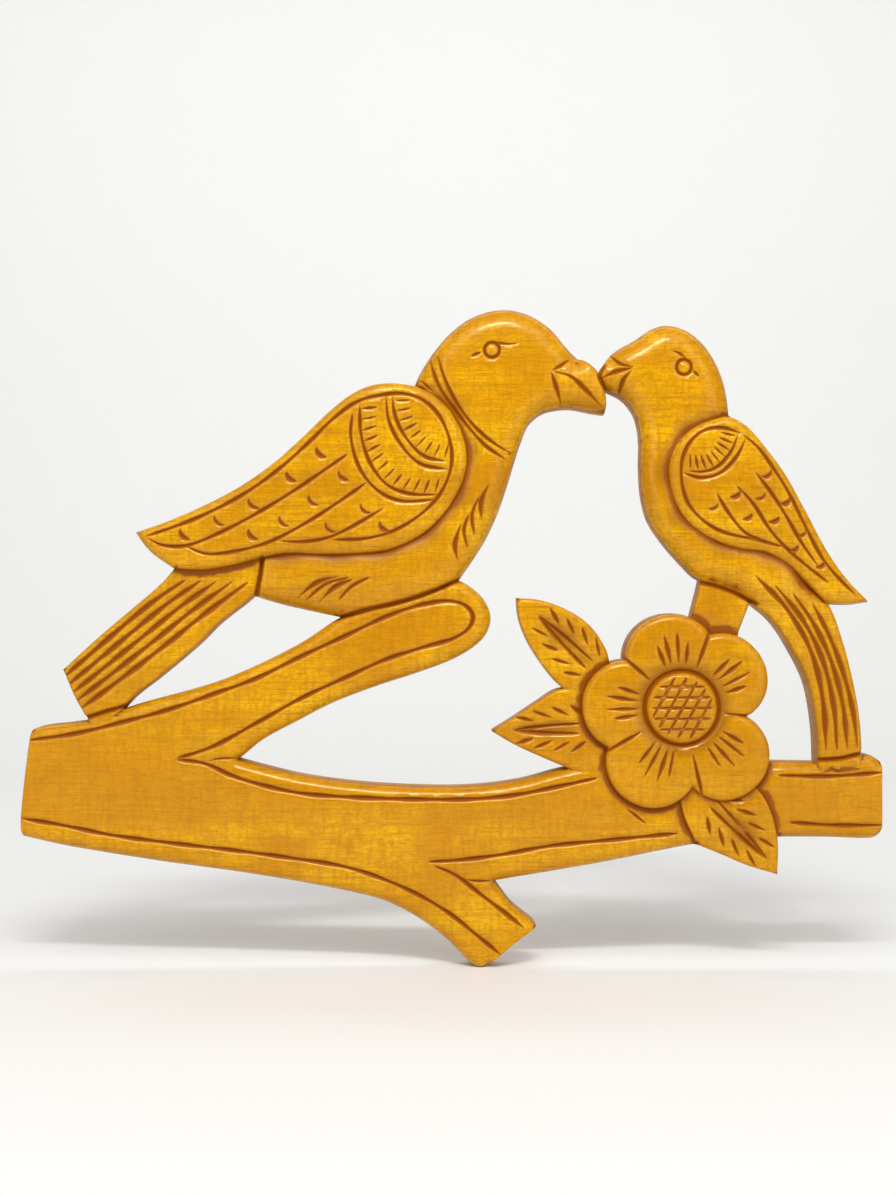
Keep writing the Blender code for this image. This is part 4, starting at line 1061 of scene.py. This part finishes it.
# How far the fibres stand up, and the brush's ripples in the lacquer, in metres
FIBRE_RELIEF = 0.00003
RIPPLE_RELIEF = 0.00005
# The roughness of the lacquered face, of the thinly lacquered sawn walls and back, and of a stained cut
FACE_ROUGHNESS = 0.20
SAWN_ROUGHNESS = 0.45
CUT_ROUGHNESS = 0.55
CUT_STAIN_SHARE = 0.6
# Each tint of the wood: its colour, what it follows, where that begins and is full, and its share then
FACE_TINTS = (
    (DEEP_GOLD, "band", 0.35, 0.65, 0.8),
    (DEEP_GOLD, "mottle", 0.42, 0.65, 0.9),
    (STREAK, "streak", 0.50, 0.72, 0.45),
    (STREAK, "figure", 0.46, 0.68, 0.42),
    (STREAK, "speck", 0.46, 0.68, 0.50),
    (STREAK, "fibre", 0.46, 0.70, 0.55),
    (PORE, "pore", 0.62, 0.70, 0.40),
    # Painted shade along the worked edges, and stain with painted shade in the hollows
    (EDGE_SHADE_BROWN, "edge", 0.15, 1.0, 0.9),
    # Stain in the cuts, with painted shade in low places
    (CUT_STAIN, "stain_and_shade", 0.08, 0.55, 0.95),
)
SAWN_TINTS = (
    (SAWN_TAN, "mottle", 0.10, 0.55, 0.8),
    (STREAK, "band", 0.40, 0.60, 0.6),
    (PORE, "streak", 0.48, 0.66, 0.6),
    (PORE, "fibre", 0.45, 0.70, 0.5),
)
# How far the relief's middle depth lies before the wall face
MIDDLE_DEPTH = 0.017
# Painted shade: darker amber patches beneath and between overlapping parts: the middle and reach of each
# patch, and its share
SHADE_PATCHES = (
    ((438, 815), 0.011, 0.45), ((460, 872), 0.010, 0.45), ((530, 805), 0.008, 0.45),
    ((810, 800), 0.075, 0.75), ((690, 620), 0.034, 0.65), ((686, 706), 0.040, 0.75),
    ((90, 690), 0.045, 0.45), ((330, 600), 0.040, 0.55), ((655, 500), 0.022, 0.45),
    ((560, 820), 0.055, 0.55), ((140, 780), 0.060, 0.40), ((400, 585), 0.040, 0.60),
)


def lacquered_wood(name, tints, shade_patches, roughness):
    """Golden hardwood: fretsawn and gouge-carved, sanded, wiped with a yellow-brown stain that gathers
    in the cuts, then brushed with a clear satin lacquer that leaves soft ripples. Painted shade darkens its
    worked edges, its low places, and patches beneath and between overlapping parts.
    """
    material = bpy.data.materials.new(name)
    material.use_nodes = True
    tree = material.node_tree
    finish = tree.nodes["Principled BSDF"]
    place = add(tree, "TexCoord", {}, {}).outputs["Object"]
    drift = add(tree, "TexNoise", {}, {
        "Vector": place, "Scale": GRAIN_DRIFT_SCALE, "Detail": GRAIN_DRIFT_DETAIL}).outputs["Fac"]
    lift = add(tree, "Math", {"operation": "MULTIPLY"}, {0: drift, 1: GRAIN_DRIFT}).outputs["Value"]
    lift = add(tree, "CombineXYZ", {}, {"Z": lift}).outputs["Vector"]
    along = add(tree, "VectorMath", {"operation": "ADD"}, {0: place, 1: lift}).outputs["Vector"]
    source = {}
    for layer, feature in GRAIN.items():
        stretched = add(tree, "VectorMath", {"operation": "MULTIPLY"}, {
            0: along, 1: tuple(1 / size for size in feature)}).outputs["Vector"]
        source[layer] = add(tree, "TexNoise", {}, {
            "Vector": stretched, "Scale": 1.0, "Detail": GRAIN_DETAIL}).outputs["Fac"]
    # The stain attribute: stain with painted shade in low places; the edge attribute: painted shade at edges
    # and hollows
    for worked in ("edge", "stain_and_shade"):
        source[worked] = add(tree, "Attribute", {"attribute_name": worked}, {}).outputs["Fac"]
    shade_spots = []
    # Painted shade: darker amber patches beneath and between overlapping parts
    for middle, reach, most in shade_patches:
        x, z = on_board(middle)
        away = add(tree, "VectorMath", {"operation": "DISTANCE"}, {
            0: along, 1: (x, -MIDDLE_DEPTH, z)}).outputs["Value"]
        shade_spots.append((SHADE_AMBER, away, reach, 0.0, most))
    colour = linear(GOLD)
    for tint, follows, begins, full, most in (*shade_spots, *tints):
        share = add(tree, "MapRange", {}, {
            "Value": source.get(follows, follows), "From Min": begins, "From Max": full,
            "To Min": 0.0, "To Max": most}).outputs["Result"]
        colour = add(tree, "Mix", {"data_type": "RGBA"}, {
            MIX_SHARE: share, MIX_UNDER: colour, MIX_OVER: linear(tint)}).outputs[MIX_RESULT]
    tree.links.new(colour, finish.inputs["Base Color"])
    fibres = add(tree, "Bump", {}, {
        "Height": source["fibre"], "Distance": FIBRE_RELIEF}).outputs["Normal"]
    ripples = add(tree, "Bump", {}, {
        "Height": source["ripple"], "Distance": RIPPLE_RELIEF, "Normal": fibres}).outputs["Normal"]
    tree.links.new(ripples, finish.inputs["Normal"])
    rough = add(tree, "MapRange", {}, {
        "Value": source["stain_and_shade"], "From Min": 0.0, "From Max": CUT_STAIN_SHARE,
        "To Min": roughness, "To Max": CUT_ROUGHNESS})
    tree.links.new(rough.outputs["Result"], finish.inputs["Roughness"])
    finish.inputs["Specular Tint"].default_value = linear(LACQUER_TINT)
    return material


# The photograph's frame, in its own pixels, and the camera's distance from the relief's middle depth
PHOTO_WIDTH = 896
PHOTO_HEIGHT = 1195
CAMERA_DISTANCE = 0.7275
FILM_HEIGHT = 36.0
NEAREST_SEEN = 0.01


def add_camera():
    """A camera square to the panel, at the photograph's distance and field."""
    seen = bpy.data.cameras.new("camera")
    seen.lens = FILM_HEIGHT * CAMERA_DISTANCE / (PHOTO_HEIGHT * UNIT)
    seen.sensor_width = FILM_HEIGHT
    seen.clip_start = NEAREST_SEEN
    camera = bpy.data.objects.new("camera", seen)
    x, z = on_board((PHOTO_WIDTH / 2, PHOTO_HEIGHT / 2))
    camera.location = (x, -MIDDLE_DEPTH - CAMERA_DISTANCE, z)
    camera.rotation_euler = (math.radians(90), 0, 0)
    bpy.context.scene.collection.objects.link(camera)
    bpy.context.scene.camera = camera


# The paper sweep, in metres: its wall stands far enough off for the panel's back to be looked at
BACKDROP_GAP = 1.35
COVE_RADIUS = 0.60
COVE_STEPS = 16
STAGE_WIDTH = 8.0
STAGE_FRONT = 3.0
STAGE_HEIGHT = 1.8
PAPER_ROUGHNESS = 0.9
# Each soft lamp: its name, its place, what it is turned to, its width and height, and its watts
PANEL_MIDDLE = (0, 0, -0.05)
LAMPS = (
    ("overhead_softbox", (0.0, -0.90, 1.00), PANEL_MIDDLE, (2.0, 1.0), 10.5),
    ("highlight_strip", (0.0, -0.95, 0.85), PANEL_MIDDLE, (0.50, 0.12), 8.0),
    ("backdrop_softbox", (0.0, 0.40, 0.95), (0, 1.35, 0.0), (3.0, 0.5), 9.5),
    ("left_softbox", (-1.05, -1.25, 0.12), PANEL_MIDDLE, (0.9, 1.4), 5.5),
    ("right_softbox", (1.05, -1.25, 0.12), PANEL_MIDDLE, (0.9, 1.4), 5.5),
)
ROOM_LIGHT = 0.25


def add_stage():
    """A pale paper sweep: a floor under the lowest point, curving up into a wall behind the panel."""
    floor = SOLID_BOX[0][2]
    profile = [(-STAGE_FRONT, floor)]
    for step in range(COVE_STEPS + 1):
        turn = math.pi / 2 * step / COVE_STEPS
        y = BACKDROP_GAP - COVE_RADIUS * (1 - math.sin(turn))
        profile.append((y, floor + COVE_RADIUS * (1 - math.cos(turn))))
    profile.append((BACKDROP_GAP, floor + STAGE_HEIGHT))
    bm = bmesh.new()
    line = [bm.verts.new((-STAGE_WIDTH / 2, y, z)) for y, z in profile]
    edges = [bm.edges.new(pair) for pair in zip(line, line[1:])]
    swept = bmesh.ops.extrude_edge_only(bm, edges=edges)["geom"]
    bmesh.ops.translate(bm, verts=only(BMVert, swept), vec=(STAGE_WIDTH, 0, 0))
    mesh = bpy.data.meshes.new("paper_sweep")
    bm.to_mesh(mesh)
    bm.free()
    mesh.shade_smooth()
    paper = bpy.data.materials.new("pale_paper")
    paper.use_nodes = True
    finish = paper.node_tree.nodes["Principled BSDF"]
    finish.inputs["Base Color"].default_value = linear(PAPER)
    finish.inputs["Roughness"].default_value = PAPER_ROUGHNESS
    mesh.materials.append(paper)
    sweep = bpy.data.objects.new("paper_sweep", mesh)
    bpy.context.scene.collection.objects.link(sweep)


def add_lamp(name, place, aim, size, power):
    """A soft lamp at a place, turned to an aim, and itself out of the picture."""
    lamp = bpy.data.lights.new(name, "AREA")
    lamp.shape = "RECTANGLE"
    lamp.size, lamp.size_y = size
    lamp.energy = power
    shown = bpy.data.objects.new(name, lamp)
    shown.location = place
    shown.rotation_euler = (Vector(aim) - Vector(place)).to_track_quat("-Z", "Y").to_euler()
    shown.visible_camera = False
    bpy.context.scene.collection.objects.link(shown)


def light_scene():
    """Plain soft studio light, the most of it from above and in front."""
    for lamp in LAMPS:
        add_lamp(*lamp)
    world = bpy.data.worlds.new("studio")
    world.use_nodes = True
    background = world.node_tree.nodes["Background"]
    background.inputs["Color"].default_value = (1.0, 1.0, 1.0, 1.0)
    background.inputs["Strength"].default_value = ROOM_LIGHT
    bpy.context.scene.world = world


def carve_board():
    """The whole board in fine relief, in place of the plain solid."""
    parts = branch() + big_bird() + small_bird() + flower()
    joins = cut_along(SEAMS, SEAM)
    piece = bpy.data.objects.new("carved_relief", carved_mesh(parts, joins))
    piece.data.materials.append(lacquered_wood("lacquered_wood", FACE_TINTS, SHADE_PATCHES, FACE_ROUGHNESS))
    piece.data.materials.append(lacquered_wood("sawn_wood", SAWN_TINTS, (), SAWN_ROUGHNESS))
    bpy.context.scene.collection.objects.link(piece)
    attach(piece, "root")
    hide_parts("carved_board")


bpy.context.scene.view_settings.view_transform = "Standard"
carve_board()
add_camera()
add_stage()
light_scene()
